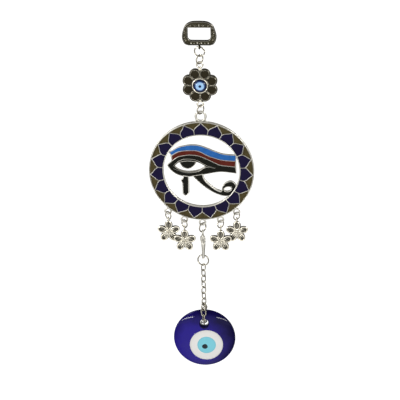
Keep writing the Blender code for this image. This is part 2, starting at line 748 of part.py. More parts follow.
def amulet(pivot):
    half, eye, gap = RING_THICKNESS / 2, EYE_THICKNESS / 2, FILL_GAP
    floor, eye_floor = -half + ENAMEL_DEPTH, -eye + ENAMEL_DEPTH
    ring_pockets = [
        (navy_outline(0), [amulet_circle(FIELD[0], 57)]),
        (amulet_circle(FIELD[1], 57), [bronze_outline(0)]),
    ]
    band = relief(amulet_circle(RING_OUTER, 57), [amulet_circle(RING_INNER, 57)], ring_pockets,
                  -half, floor, half)
    made = to_object(band, "amulet_frame", silver())
    cups = {name: (place(edge), [place(h) for h in holes]) for name, edge, holes, _ in fills(0)}
    lids = [cups[name] for name in ("brow_fill_blue", "brow_fill_red", "eye_fill_black", "iris_fill_black")]
    reach = RING_INNER + INNER_RIM - 0.1
    parts = [
        relief(place(within(eye_outline(), reach)), [place(eye_opening())], lids,
               -eye, eye_floor, eye),
        relief(place(STEM), [], [cups["stem_fill_black"]], -eye + 0.01, eye_floor, eye - 0.01),
        relief(place(within(leg_outline(), reach)), [place(curl_hole(0))], [cups["leg_fill_black"]],
               -eye + 0.02, eye_floor, eye - 0.02),
        wire_ring((0, 0, TOP_LUG_Z), TOP_LUG, 0),
    ]
    for angle in LUG_ANGLES:
        x, z = lug_centre(angle)
        parts.append(wire_ring((x, 0, z), CHARM_LUG, 0))
    for k, part in enumerate(parts):
        combine("UNION", made, [to_object(part, f"part_{k}", silver())])
    finish(clean(made), pivot)

    front = -half + 0.15
    navy = plate(navy_outline(gap), [amulet_circle(FIELD[0] + gap, 57)], front, floor - gap)
    finish(to_object(navy, "ring_fill_navy", enamel("navy", (0.012, 0.01, 0.045))), pivot)
    bronze = plate(amulet_circle(FIELD[1] - gap, 57), [bronze_outline(gap)], front, floor - gap)
    finish(to_object(bronze, "ring_fill_bronze", enamel("bronze", (0.08, 0.06, 0.025))), pivot)
    for name, outline, holes, skin in fills(gap):
        shape = plate(place(outline), [place(h) for h in holes], -eye + 0.15, eye_floor - gap)
        finish(to_object(shape, name, skin), pivot)


def lug_centre(angle):
    a = math.radians(angle)
    return CHARM_LUG_ORBIT * math.sin(a), RING_Z - CHARM_LUG_ORBIT * math.cos(a)


# ---- charms ---------------------------------------------------------------------------------

def charm_turn(angle):
    """Left charm rings are turned one way and right ones the other, so that neighbours part."""
    return -45.0 if angle < 0 else 45.0


def charm(number, angle):
    x, lug_z = lug_centre(angle)
    forward = -CHARM_OFFSET if abs(angle) < 30 else CHARM_OFFSET
    yaw = charm_turn(angle)
    hook = lug_z - CHARM_LUG[0]
    ring_z = hang(hook, CHARM_LUG, CHARM_RING, yaw)
    ring(f"charm_ring_{number}", (x, 0, ring_z), CHARM_RING, yaw, (x, 0, hook))
    low = ring_z - CHARM_RING[0]
    loop_z = hang(low, CHARM_RING, CHARM_EYE, 90 - abs(yaw))
    flower_z = loop_z - CHARM_LOOP - CHARM_ORBIT - CHARM_PETAL[0] + 0.2
    front, back = forward - CHARM_THICKNESS / 2, forward + CHARM_THICKNESS / 2
    outline = []
    steps = 7
    for k in range(5 * steps):
        turn = 2 * math.pi * k / (5 * steps)
        off = ((turn + math.pi / 5) % (2 * math.pi / 5)) - math.pi / 5
        reach = petal_reach(off)
        outline.append((x + reach * math.sin(turn), flower_z + reach * math.cos(turn)))
    body = to_object(plate(outline, [], front, back), f"flower_charm_{number}", silver())
    boss = [(0, forward), (1.1, forward), (1.1, front - 0.3), (0, front - 0.5)]
    loop = wire_ring((x, 0, loop_z), CHARM_EYE, 90)
    parts = [to_object(turned(boss, (x, flower_z), 12), "boss", silver()),
             to_object(loop, "loop", silver())]
    combine("UNION", body, parts)
    return finish(clean(body), (x, 0, low))


def petal_reach(off):
    """Distance from a charm's centre to its edge: five oval petals joined in the middle."""
    a, b = CHARM_PETAL
    c, s = math.cos(off), math.sin(off)
    qa = (c / a) ** 2 + (s / b) ** 2
    qb = -2 * CHARM_ORBIT * c / a ** 2
    qc = (CHARM_ORBIT / a) ** 2 - 1
    inside = qb * qb - 4 * qa * qc
    if inside < 0:
        return 1.9
    return max(1.9, (-qb + math.sqrt(inside)) / (2 * qa))


# ---- clasp ----------------------------------------------------------------------------------

def clasp_point(u, v, x=0.0):
    """A point of the clasp: u across it, v up from the eyelet's centre, x through it."""
    across, through = heading(CLASP_YAW), heading(CLASP_YAW - 90)
    return across * u + through * x + Vector((0, 0, CLASP_Z + v))


def clasp_plate(outline, half):
    bm = bmesh.new()
    sides = [[bm.verts.new(clasp_point(u, v, x)) for u, v in outline] for x in (-half, half)]
    count = len(outline)
    bm.faces.new(sides[0])
    bm.faces.new(sides[1])
    for i in range(count):
        j = (i + 1) % count
        bm.faces.new((sides[0][i], sides[0][j], sides[1][j], sides[1][i]))
    return bm


def clasp_cylinder(u, v, radius, half, sides=12):
    return clasp_plate([(u + a, v + b) for a, b in circle(0, 0, radius, sides)], half)


PIVOT = (1.0, -4.6)


def clasp(pivot):
    low = -CLASP_LENGTH
    h = CLAW_HALF
    route = [(0.0, -1.6), (0.0, -3.0), (-0.9, -4.3), (-h, -6.2), (-h - 0.25, -8.2), (-h, -10.0),
             (-h * 0.6, low + 0.5), (0.0, low), (h * 0.6, low + 0.45), (h, low + 1.6),
             (h + 0.1, low + 2.3)]
    widths = [0.75, 1.0, 1.35, 1.25, 1.1, 0.95, CLAW_WIRE, CLAW_WIRE, CLAW_WIRE - 0.05,
              CLAW_TIP_WIRE + 0.05, CLAW_TIP_WIRE]
    points = smooth([(u, v, w) for (u, v), w in zip(route, widths)], 2)
    path = [clasp_point(u, v) for u, v, _ in points]
    through = heading(CLASP_YAW - 90)
    body = to_object(tube(path, [w for _, _, w in points], False, through, 10), "clasp_body", silver())
    eye = oval(clasp_point(0, 0), CLASP_EYE[0], 0.0, DOWN, heading(CLASP_YAW), 8)
    head = [(-0.9, -2.9), (0.9, -2.9), (2.0, -3.6), (2.2, -5.0), (1.4, -5.8), (-0.4, -5.9), (-2.2, -5.4)]
    parts = [
        to_object(tube(eye, [CLASP_EYE[1]] * len(eye), True, through), "eyelet", silver()),
        to_object(clasp_plate(head, HEAD_THICKNESS / 2 - 0.2), "head", silver()),
    ]
    combine("UNION", body, parts)
    slot_half = LEVER_WIDTH / 2 + SLOT_GAP
    slot = [(-0.6, -3.6), (3.4, -3.3), (3.4, -6.6), (-0.6, -6.4)]
    cuts = [
        to_object(clasp_plate(slot, slot_half), "slot", silver()),
        to_object(clasp_cylinder(*PIVOT, RIVET_RADIUS + RIVET_GAP, HEAD_THICKNESS), "bore", silver()),
    ]
    combine("DIFFERENCE", body, cuts)
    finish(clean(body), pivot)

    rivet = clasp_cylinder(*PIVOT, RIVET_RADIUS, HEAD_THICKNESS / 2)
    finish(to_object(rivet, "clasp_rivet", silver()), pivot)

    root = [(PIVOT[0] + 0.85 * math.cos(math.radians(a)), PIVOT[1] + 0.85 * math.sin(math.radians(a)))
            for a in (200, 160, 120, 80)]
    tip = low + 2.3 + CLAW_TIP_WIRE + 0.2
    lever = root + [(2.6, -3.6), (3.2, -3.9), (2.9, -4.6), (2.7, -5.6), (h + 0.55, -7.4),
                    (h + 0.5, tip), (h - 0.25, tip), (h - 0.35, -7.6), (1.7, -6.0), (0.9, -5.55)]
    made = to_object(clasp_plate(lever, LEVER_WIDTH / 2), "clasp_lever", silver())
    bore = clasp_cylinder(*PIVOT, RIVET_RADIUS + RIVET_GAP, LEVER_WIDTH)
    combine("DIFFERENCE", made, [to_object(bore, "bore", silver())])
    finish(clean(made), clasp_point(*PIVOT))

    leaf = [clasp_point(u, v) for u, v in ((-0.35, -4.15), (-0.15, -4.0), (0.35, -3.75), (1.0, -3.62))]
    spring = tube(leaf, [0.08] * len(leaf), False, through, 6)
    finish(to_object(spring, "clasp_spring", material("spring_steel", (0.4, 0.4, 0.4), 0.3, 1.0)), pivot)


# ---- chain and bead -------------------------------------------------------------------------

def link(name, top, bottom, roll, pivot):
    """A link between two places where wires meet, turned about its own length by roll degrees."""
    top, bottom = Vector(top), Vector(bottom)
    along = (bottom - top).normalized()
    level = Vector((1, 0, 0)) - along * along.x
    level.normalize()
    front = along.cross(level)
    a = math.radians(roll)
    side = level * math.cos(a) + front * math.sin(a)
    path = oval((top + bottom) / 2, LINK[0], LINK_STRAIGHT, along, side, LINK_STEPS)
    made = to_object(tube(path, [LINK_WIRE] * len(path), True, side.cross(along)), name, silver())
    return finish(made, pivot)


def hanging_links():
    for k in range(HANGING_LINKS):
        hook = link_hook(k)
        yaw = LINK_YAW if k % 2 == 0 else LINK_YAW - 90
        top = LINK_TOP_Z if k == 0 else hook + 2 * LINK_WIRE + WIRE_GAP
        side = heading(yaw)
        centre = (0, 0, top - LINK[0] - LINK_STRAIGHT)
        path = oval(centre, LINK[0], LINK_STRAIGHT, DOWN, side, LINK_STEPS)
        made = to_object(tube(path, [LINK_WIRE] * len(path), True, side.cross(DOWN)),
                         f"chain_link_{k + 1}", silver())
        finish(made, (0, 0, hook))


def bead_surface(rho):
    """Half the bead's thickness at a share of its radius."""
    return BEAD_HALF_THICKNESS * max(0.0, 1 - rho * rho) ** 0.7


def bead_front(x, z):
    rho = math.hypot(x / BEAD_HALF_WIDTH, (z - BEAD_Z) / BEAD_HALF_HEIGHT)
    return -bead_surface(rho)


def eye_layer(name, spec, pocket, floor, pocket_floor, skin, pivot):
    """A disc let into the bead, whose front follows the bead's own curve."""
    radius, x0, z0 = spec[0] - FILL_GAP, spec[1], BEAD_Z + spec[2]
    bm = bmesh.new()
    sides = 32

    def loop(cx, cz, r, y=None):
        ring_points = circle(cx, cz, r, sides)
        return [bm.verts.new((x, bead_front(x, z) if y is None else y, z)) for x, z in ring_points]

    def join(a, b):
        for k in range(sides):
            j = (k + 1) % sides
            bm.faces.new((a[k], a[j], b[j], b[k]))

    back = loop(x0, z0, radius, floor)
    bm.faces.new(back)
    front = loop(x0, z0, radius)
    join(back, front)
    if pocket:
        px, pz, pr = pocket[1], BEAD_Z + pocket[2], pocket[0]
        lip = loop(px, pz, pr)
        inner = loop(px, pz, pr, pocket_floor)
        join(front, lip)
        join(lip, inner)
        bm.faces.new(inner)
    else:
        bm.faces.new(front)
    return finish(to_object(bm, name, skin), pivot)


def bead(pivot):
    skin = material("cobalt_glass", (0.015, 0.01, 0.20), 0.08, 0.0)
    bm = bmesh.new()
    sides = 40
    shares = [0.0, 0.4, 0.7, 0.88, 0.97, 1.0]
    rings = []
    for sign, order in ((-1, shares), (1, shares[-2::-1])):
        for share in order:
            if share == 0:
                rings.append([bm.verts.new((0, sign * BEAD_HALF_THICKNESS, BEAD_Z))] * sides)
                continue
            y = sign * bead_surface(share)
            rings.append([
                bm.verts.new((share * BEAD_HALF_WIDTH * u, y, BEAD_Z + share * BEAD_HALF_HEIGHT * v))
                for u, v in circle(0, 0, 1, sides)
            ])
    for a, b in zip(rings, rings[1:]):
        for k in range(sides):
            corners = [a[k], a[(k + 1) % sides], b[(k + 1) % sides], b[k]]
            bm.faces.new(list(dict.fromkeys(corners)))
    made = to_object(bm, "bead_glass", skin)
    floor = -BEAD_HALF_THICKNESS + 2.2
    white_x, white_z = EYE_WHITE[1], BEAD_Z + EYE_WHITE[2]
    pocket = [(0, -6), (EYE_WHITE[0], -6), (EYE_WHITE[0], floor), (0, floor)]
    flare = BEAD_HOLE + 1.3
    hole = [(0, -6), (flare + 1.4, -6), (BEAD_HOLE, -1.4), (BEAD_HOLE, 1.4), (flare + 1.4, 6), (0, 6)]
    cuts = [to_object(turned(pocket, (white_x, white_z), 32), "pocket", skin),
            to_object(turned(hole, (0, HOLE_Z), 24), "hole", skin)]
    finish(clean(combine("DIFFERENCE", made, cuts)), pivot)
    eye_layer("bead_white", EYE_WHITE, EYE_BLUE, floor - FILL_GAP, floor - 0.8,
              enamel("white_glass", (0.72, 0.70, 0.68)), pivot)
    eye_layer("bead_light_blue", EYE_BLUE, EYE_DOT, floor - 0.8 - FILL_GAP, floor - 1.5,
              enamel("light_blue_glass", (0.20, 0.55, 0.65)), pivot)
    eye_layer("bead_pupil", EYE_DOT, None, floor - 1.5 - FILL_GAP, 0,
              enamel("black_glass", (0.01, 0.02, 0.02)), pivot)


def bead_loop(pivot):
    """The nine links that pass in front of the bead, through its hole and up behind it."""
    joints = loop_joints(HOLE_Z)
    joints += [(joints[-1] + FORK) / 2, FORK]
    route = list(reversed(joints)) + [Vector((-p.x, -p.y, p.z)) for p in joints]
    count = len(route) - 1
    twist = 90 + 90 / (count - 1)  # so that both ends hang square on the forked link
    for k in range(count):
        link(f"loop_link_{k + 1}", route[k], route[k + 1], LINK_YAW + twist * k, pivot)


def main():
    for old in list(bpy.data.objects):
        bpy.data.objects.remove(old)
    hanger()
    sprung_ring()
    ring("rosette_top_ring", (0, 0, RING2_Z), MID_RING, MID_YAW, (0, 0, RING1_HOOK))
    rosette((0, 0, RING2_HOOK))
    rosette_stone((0, 0, RING2_HOOK))
    ring("rosette_bottom_ring", (0, 0, RING3_Z), MID_RING, MID_YAW, (0, 0, ROSETTE_HOOK))
    amulet((0, 0, RING3_HOOK))
    number = 1
    for angle in LUG_ANGLES:
        if angle:
            charm(number, angle)
            number += 1
    ring("clasp_ring", (0, 0, CLASP_RING_Z), MID_RING, MID_YAW, (0, 0, CLASP_RING_HOOK))
    clasp((0, 0, CLASP_HOOK))
    ring("chain_end_ring", (0, 0, END_RING_Z), END_RING, BIG_YAW, (0, 0, CLAW_LOW_Z))
    hanging_links()
    bead_loop((0, 0, FORK_Z))
    bead((0, 0, FORK_Z))


main()
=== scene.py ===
"""The looks of a hanging evil eye ornament, laid out as an add-on and run as a script.

The front faces -Y and up is +Z. Sizes in the code are millimetres, and a mesh is changed to metres
when its piece is made. Each operator builds one piece, or a group of like pieces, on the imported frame.
"""

import json
import math

import bmesh
import bpy
import numpy as np
from bpy.props import FloatProperty, FloatVectorProperty, IntProperty, PointerProperty
from mathutils import Matrix, Quaternion, Vector


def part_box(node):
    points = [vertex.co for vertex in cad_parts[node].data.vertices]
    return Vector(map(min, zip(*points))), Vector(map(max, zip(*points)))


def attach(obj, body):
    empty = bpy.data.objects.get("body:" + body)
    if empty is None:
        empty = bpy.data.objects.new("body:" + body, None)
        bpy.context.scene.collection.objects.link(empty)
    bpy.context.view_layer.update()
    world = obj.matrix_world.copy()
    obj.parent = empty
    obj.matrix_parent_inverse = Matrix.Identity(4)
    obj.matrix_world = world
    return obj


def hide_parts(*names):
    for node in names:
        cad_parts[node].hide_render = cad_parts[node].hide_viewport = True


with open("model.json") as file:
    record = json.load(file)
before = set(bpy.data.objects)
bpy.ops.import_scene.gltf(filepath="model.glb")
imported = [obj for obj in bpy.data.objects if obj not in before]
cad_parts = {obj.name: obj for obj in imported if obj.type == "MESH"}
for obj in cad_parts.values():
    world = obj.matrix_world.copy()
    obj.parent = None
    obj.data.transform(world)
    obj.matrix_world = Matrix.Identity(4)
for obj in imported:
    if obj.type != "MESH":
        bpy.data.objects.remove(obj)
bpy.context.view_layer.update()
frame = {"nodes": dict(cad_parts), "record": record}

bl_info = {
    "name": "Evil Eye Ornament",
    "version": (1, 0, 0),
    "blender": (4, 5, 0),
    "location": "3D View > Sidebar > Ornament",
    "description": "Builds the finished pieces of a hanging evil eye ornament",
    "category": "Add Mesh",
}

MM = 0.001
FRONT = Vector((0.0, -1.0, 0.0))
UP = Vector((0.0, 0.0, 1.0))
EDGE_TINT = (0.16, 0.15, 0.12, 1.0)  # how plated metal reflects when seen edge on


def middle(node):
    """A CAD node's centre, in millimetres."""
    low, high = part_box(node)
    return (low + high) / 2 / MM


def top_of(node):
    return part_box(node)[1] / MM


def bottom_of(node):
    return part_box(node)[0] / MM


# ---- settings a user may change ---------------------------------------------------------------

def color_setting(name, description, default):
    return FloatVectorProperty(name=name, description=description, subtype="COLOR", size=3,
                               min=0.0, max=1.0, default=default)


def length_setting(name, description, default):
    return FloatProperty(name=name, description=description, subtype="DISTANCE", unit="LENGTH",
                         min=0.0, default=default * MM, precision=5)


class OrnamentMetal(bpy.types.PropertyGroup):
    """Colours of the plated castings and wires."""

    silver: color_setting("Silver", "Worn high spots of the silver plating", (0.86, 0.81, 0.68))
    tarnish: color_setting("Tarnish", "Dark antique wash left in the recesses", (0.055, 0.048, 0.032))
    wire: color_setting("Wire", "Jump rings and chain links", (0.47, 0.44, 0.365))
    antique: color_setting("Antique", "Ground of the hanger plate", (0.050, 0.046, 0.028))


class OrnamentEnamel(bpy.types.PropertyGroup):
    """Colours of the enamel and glass."""

    navy: color_setting("Navy", "Lotus petals of the ring", (0.005, 0.003, 0.024))
    bronze: color_setting("Bronze", "Triangles between the petals", (0.048, 0.037, 0.013))
    blue: color_setting("Blue", "Upper band of the brow", (0.016, 0.095, 0.31))
    red: color_setting("Red brown", "Lower band of the brow", (0.075, 0.010, 0.005))
    black: color_setting("Black", "Lids, stem and leg", (0.005, 0.005, 0.003))
    olive: color_setting("Olive", "Petal cups of the rosette", (0.018, 0.014, 0.006))
    cobalt: color_setting("Cobalt", "Body of the glass bead", (0.017, 0.009, 0.21))
    # Painted shade: the bead is one cobalt glass, and this darker colour paints the shade at its edge.
    cobalt_shaded_edge: color_setting("Cobalt edge", "Thin edge of the bead", (0.008, 0.004, 0.10))
    white: color_setting("White", "White disc of the bead", (0.72, 0.71, 0.69))
    light_blue: color_setting("Light blue", "Light blue disc of the bead", (0.19, 0.56, 0.66))
    pupil: color_setting("Pupil", "Dark middle of the eyes", (0.006, 0.014, 0.020))


class OrnamentWires(bpy.types.PropertyGroup):
    """Thickness and smoothness of the wires."""

    ring_wire: length_setting("Ring wire", "Radius of the wire in the jump rings", 0.42)
    charm_wire: length_setting("Charm ring wire", "Radius of the wire in the charm rings", 0.38)
    link_wire: length_setting("Link wire", "Radius of the wire in the chain links", 0.35)
    seam: length_setting("Ring seam", "Gap where a jump ring's two ends meet", 0.05)
    around: IntProperty(name="Wire sides", description="Faces round each wire", min=8, max=32, default=14)
    along: IntProperty(name="Ring steps", description="Steps round each ring", min=24, max=96, default=56)


class OrnamentView(bpy.types.PropertyGroup):
    """Where the camera stands."""

    elevation: FloatProperty(name="Elevation", description="Camera angle above the horizon",
                             subtype="ANGLE", unit="ROTATION", default=math.radians(22.0))
    azimuth: FloatProperty(name="Azimuth", description="Camera angle to the right of the front",
                           subtype="ANGLE", unit="ROTATION", default=math.radians(4.0))
    lean: FloatProperty(name="Lean", description="How much the view is turned",
                        subtype="ANGLE", unit="ROTATION", default=math.radians(-1.05))
    distance: length_setting("Distance", "From the camera to the ornament", 6000.0)
    width: length_setting("Width", "Width of the view at the ornament", 240.0)
    across: FloatProperty(name="Across", description="Aim, to the right of the hanger's middle",
                          subtype="DISTANCE", unit="LENGTH", default=-1.3 * MM)
    down: FloatProperty(name="Down", description="Aim, below the hanger's upper bar",
                        subtype="DISTANCE", unit="LENGTH", default=110.9 * MM)


# ---- finishes ---------------------------------------------------------------------------------

def new_finish(name, roughness, metallic=0.0, **sockets):
    """An empty node material; sockets are set on the shader itself."""
    made = bpy.data.materials.new(name)
    made.use_nodes = True
    shader = made.node_tree.nodes["Principled BSDF"]
    shader.inputs["Roughness"].default_value = roughness
    shader.inputs["Metallic"].default_value = metallic
    for socket, value in sockets.items():
        shader.inputs[socket.replace("_", " ")].default_value = value
    return made, shader


def node(made, kind, **values):
    added = made.node_tree.nodes.new(kind)
    for key, value in values.items():
        if key in added.inputs:
            added.inputs[key].default_value = value
        else:
            setattr(added, key, value)
    return added


def wire_up(made, *pairs):
    for source, target in pairs:
        made.node_tree.links.new(source, target)


def noise(made, scale, detail=3.0):
    """Cloudy noise that stays on the piece as it moves; scale is in features per metre."""
    place = node(made, "ShaderNodeTexCoord")
    made_noise = node(made, "ShaderNodeTexNoise", Scale=scale, Detail=detail)
    wire_up(made, (place.outputs["Object"], made_noise.inputs["Vector"]))
    return made_noise.outputs["Fac"]


def spread(made, source, low, high, start=0.3, end=0.7):
    """The source stretched between two values."""
    mapped = node(made, "ShaderNodeMapRange")
    for key, value in (("From Min", start), ("From Max", end), ("To Min", low), ("To Max", high)):
        mapped.inputs[key].default_value = value
    wire_up(made, (source, mapped.inputs["Value"]))
    return mapped.outputs["Result"]


def blend(made, share, low, high):
    """A colour between two others; either may be a socket."""
    mixed = node(made, "ShaderNodeMix", data_type="RGBA")
    wire_up(made, (share, mixed.inputs["Factor"]))
    for key, color in (("A", low), ("B", high)):
        socket = next(s for s in mixed.inputs if s.name == key and s.type == "RGBA")
        if isinstance(color, bpy.types.NodeSocket):
            wire_up(made, (color, socket))
        else:
            socket.default_value = (*color, 1.0)
    return next(s for s in mixed.outputs if s.type == "RGBA")


def bump(made, shader, source, strength, height):
    bumped = node(made, "ShaderNodeBump", Strength=strength, Distance=height * MM)
    wire_up(made, (source, bumped.inputs["Height"]), (bumped.outputs["Normal"], shader.inputs["Normal"]))


def shade(color, share):
    return tuple(c * share for c in color)


def plated(name, bright, dark, roughness, reach, cover=1.0):
    """Antique plating: bright where it is rubbed, dark wash down in the recesses."""
    made, shader = new_finish(name, roughness, 1.0, Specular_Tint=EDGE_TINT)
    hollow = node(made, "ShaderNodeAmbientOcclusion", only_local=True, samples=8, Distance=reach * MM)
    worn = spread(made, hollow.outputs["AO"], 0.0, cover, 0.25, 0.85)
    cloudy = noise(made, 420.0, 4.0)
    soiled = blend(made, spread(made, cloudy, 0.0, 1.0), shade(bright, 0.78), bright)
    wire_up(made, (blend(made, worn, dark, soiled), shader.inputs["Base Color"]))
    wire_up(made, (spread(made, noise(made, 1500.0), roughness - 0.07, roughness + 0.12),
                   shader.inputs["Roughness"]))
    bump(made, shader, noise(made, 2600.0, 2.0), 0.25, 0.03)
    return made


def drawn(name, color, roughness):
    """Plated wire, with the faint unevenness of drawing and tumbling."""
    made, shader = new_finish(name, roughness, 1.0, Specular_Tint=EDGE_TINT)
    tone = blend(made, spread(made, noise(made, 700.0), 0.0, 1.0), shade(color, 0.72), color)
    wire_up(made, (tone, shader.inputs["Base Color"]))
    wire_up(made, (spread(made, noise(made, 2200.0), roughness - 0.06, roughness + 0.1),
                   shader.inputs["Roughness"]))
    bump(made, shader, noise(made, 3200.0, 1.0), 0.2, 0.02)
    return made


def enamelled(name, color, tint, roughness=0.16, gloss=0.09):
    """Poured enamel: slightly cloudy colour under a soft uneven gloss."""
    made, shader = new_finish(name, roughness, Specular_IOR_Level=gloss)
    cloudy = spread(made, noise(made, 380.0, 4.0), 0.0, 1.0)
    wire_up(made, (blend(made, cloudy, color, tint), shader.inputs["Base Color"]))
    wire_up(made, (spread(made, noise(made, 900.0), roughness - 0.05, roughness + 0.12),
                   shader.inputs["Roughness"]))
    bump(made, shader, noise(made, 520.0, 2.0), 0.3, 0.05)
    return made


def glass_eye(name, centre, reach, tones, roughness, gloss, swirl=0.03):
    """Opaque glass whose colour changes with distance from a centre; tones are (share, colour)."""
    made, shader = new_finish(name, roughness, Specular_IOR_Level=gloss)
    place = node(made, "ShaderNodeTexCoord")
    away = node(made, "ShaderNodeVectorMath", operation="DISTANCE")
    flat = node(made, "ShaderNodeVectorMath", operation="MULTIPLY")
    flat.inputs[1].default_value = (1.0, 0.0, 1.0)
    away.inputs[1].default_value = (centre[0] * MM, 0.0, centre[1] * MM)
    wire_up(made, (place.outputs["Object"], flat.inputs[0]), (flat.outputs["Vector"], away.inputs[0]))
    share = spread(made, away.outputs["Value"], 0.0, 1.0, 0.0, reach * MM)
    stir = node(made, "ShaderNodeMath", operation="ADD")
    wire_up(made, (share, stir.inputs[0]),
            (spread(made, noise(made, 160.0, 2.0), -swirl, swirl), stir.inputs[1]))
    ramp = node(made, "ShaderNodeValToRGB")
    band = ramp.color_ramp
    band.elements[0].position, band.elements[0].color = tones[0][0], (*tones[0][1], 1.0)
    band.elements[1].position, band.elements[1].color = tones[-1][0], (*tones[-1][1], 1.0)
    for position, color in tones[1:-1]:
        band.elements.new(position).color = (*color, 1.0)
    wire_up(made, (stir.outputs["Value"], ramp.inputs["Fac"]),
            (ramp.outputs["Color"], shader.inputs["Base Color"]))
    bump(made, shader, noise(made, 90.0, 1.0), 0.12, 0.25)
    return made


def finish_named(name, maker, *values, **more):
    """The finish of that name, made the first time it is asked for."""
    return bpy.data.materials.get(name) or maker(name, *values, **more)


def metal(name, share=1.0):
    """One of the metal colours, made darker or lighter by a share."""
    return shade(tuple(getattr(bpy.context.scene.ornament_metal, name)), share)


def silver():
    return finish_named("antique_silver", plated, metal("silver"), metal("tarnish"), 0.24, 0.9)


def wire_silver():
    return finish_named("silver_wire", drawn, metal("wire"), 0.2)


def dark_ground():
    return finish_named("dark_antique", plated, metal("antique"), metal("tarnish", 0.35), 0.34, 1.0)


def enamel(name):
    """One of the enamel colours, with a slightly lighter cloud in it."""
    color = tuple(getattr(bpy.context.scene.ornament_enamel, name))
    return finish_named(f"{name}_enamel", enamelled, color, shade(color, 1.35))


# ---- shapes -----------------------------------------------------------------------------------

def circle(x, z, radius, count, start=0.0):
    turns = [start + 2 * math.pi * k / count for k in range(count)]
    return [(x + radius * math.cos(t), z + radius * math.sin(t)) for t in turns]


def smooth(points, steps):
    """Points along a curve that passes through the given ones."""
    ends = [points[0], *points, points[-1]]
    curve = []
    for i in range(len(points) - 1):
        p0, p1, p2, p3 = ends[i:i + 4]
        for k in range(steps):
            t = k / steps
            weights = (-t + 2 * t * t - t ** 3, 2 - 5 * t * t + 3 * t ** 3,
                       t + 4 * t * t - 3 * t ** 3, -t * t + t ** 3)
            curve.append(tuple(
                0.5 * sum(w * p[a] for w, p in zip(weights, (p0, p1, p2, p3)))
                for a in range(len(p1))
            ))
    return curve + [tuple(points[-1])]


def moved(points, x, z):
    return [(x + a, z + b) for a, b in points]


def mirrored(points):
    return [(-x, z) for x, z in reversed(points)]


def area(points):
    return sum(points[i - 1][0] * p[1] - p[0] * points[i - 1][1] for i, p in enumerate(points)) / 2


def inset(points, depth):
    """The outline moved towards its inside by a depth, or outwards if that is negative."""
    sign = 1.0 if area(points) > 0 else -1.0
    count = len(points)
    result = []
    for i, (x, z) in enumerate(points):
        before, after = points[i - 1], points[(i + 1) % count]
        normals = []
        for (x0, z0), (x1, z1) in ((before, (x, z)), ((x, z), after)):
            length = math.hypot(x1 - x0, z1 - z0) or 1.0
            normals.append((-(z1 - z0) / length * sign, (x1 - x0) / length * sign))
        nx, nz = normals[0][0] + normals[1][0], normals[0][1] + normals[1][1]
        length = math.hypot(nx, nz) or 1.0
        miter = min(1.6, 2.0 / length)
        result.append((x + nx / length * depth * miter, z + nz / length * depth * miter))
    return result


def line(points, y):
    """Points of a flat drawing, at a depth."""
    return [Vector((x, y, z)) for x, z in points]


def skin(bm, rings, joined, slot=0):
    """Faces between rings of points; joined rings close on the first one, others get flat ends."""
    made = [[bm.verts.new(p) for p in ring] for ring in rings]
    count = len(made)
    faces = []
    for i in range(count if joined else count - 1):
        a, b = made[i], made[(i + 1) % count]
        for k in range(len(a)):
            j = (k + 1) % len(a)
            faces.append(bm.faces.new((a[k], a[j], b[j], b[k])))
    if not joined:
        faces.append(bm.faces.new(made[0]))
        faces.append(bm.faces.new(made[-1]))
    for face in faces:
        face.material_index = slot
    return faces


def sweep(bm, path, across, depth, up, joined=False, sides=10, slot=0, pointed=False):
    """A rod with an oval section: across is its half width and depth its half height along up.

    Either may be a list with a value for each point. A pointed rod shrinks to its ends.
    """
    count = len(path)
    up = Vector(up).normalized()
    rings = []
    for i, point in enumerate(path):
        point = Vector(point)
        before = Vector(path[i - 1]) if i or joined else point
        after = Vector(path[(i + 1) % count]) if i < count - 1 or joined else point
        along = (after - before).normalized()
        rise = (up - along * along.dot(up)).normalized()
        side = along.cross(rise)
        a = across[i] if isinstance(across, (list, tuple)) else across
        b = depth[i] if isinstance(depth, (list, tuple)) else depth
        if pointed:
            share = max(0.12, min(1.0, 3.2 * min(i, count - 1 - i) / (count - 1)) ** 0.6)
            a, b = a * share, b * share
        turns = [2 * math.pi * k / sides for k in range(sides)]
        rings.append([point + side * (a * math.cos(t)) + rise * (b * math.sin(t)) for t in turns])
    return skin(bm, rings, joined, slot)


def ridge(bm, points, y, across, depth, joined=False, sides=8, slot=0, pointed=False):
    """A raised line on the front of a casting."""
    return sweep(bm, line(points, y), across, depth, FRONT, joined, sides, slot, pointed)


def hoop(bm, centre, radius, wire, side, around=48, sides=12, slot=0):
    """A ring of wire that hangs in the plane of the side direction and up."""
    side = Vector(side).normalized()
    path = [Vector(centre) + side * (radius * x) + UP * (radius * z) for x, z in circle(0, 0, 1, around)]
    return sweep(bm, path, wire, wire, side.cross(UP), True, sides, slot)


def lathe(bm, profile, x, z, sides=48, slot=0):
    """A body turned round the front-to-back line through x and z; the profile is (radius, y)."""
    rings = []
    for radius, y in profile:
        if radius == 0:
            rings.append([bm.verts.new((x, y, z))] * sides)
        else:
            rings.append([bm.verts.new((a, y, b)) for a, b in circle(x, z, radius, sides)])
    for a, b in zip(rings, rings[1:]):
        for k in range(sides):
            j = (k + 1) % sides
            bm.faces.new(list(dict.fromkeys((a[k], a[j], b[j], b[k])))).material_index = slot


def grain(bm, centre, radius, flat=1.0, slot=0, rings=6, sides=14):
    """A cast granule, flattened from front to back."""
    x, y, z = centre
    profile = [(radius * math.sin(math.pi * k / rings), y - radius * flat * math.cos(math.pi * k / rings))
               for k in range(rings + 1)]
    profile[0], profile[-1] = (0, profile[0][1]), (0, profile[-1][1])
    lathe(bm, profile, x, z, sides, slot)


def cap_face(bm, loops, slot):
    """Fills the flat space between loops of points that are already made."""
    edges = []
    for loop in loops:
        edges += [bm.edges.get((loop[i - 1], loop[i])) or bm.edges.new((loop[i - 1], loop[i]))
                  for i in range(len(loop))]
    filled = bmesh.ops.triangle_fill(bm, use_beauty=True, use_dissolve=False, edges=edges,
                                     normal=FRONT)["geom"]
    for face in filled:
        if isinstance(face, bmesh.types.BMFace):
            face.material_index = slot


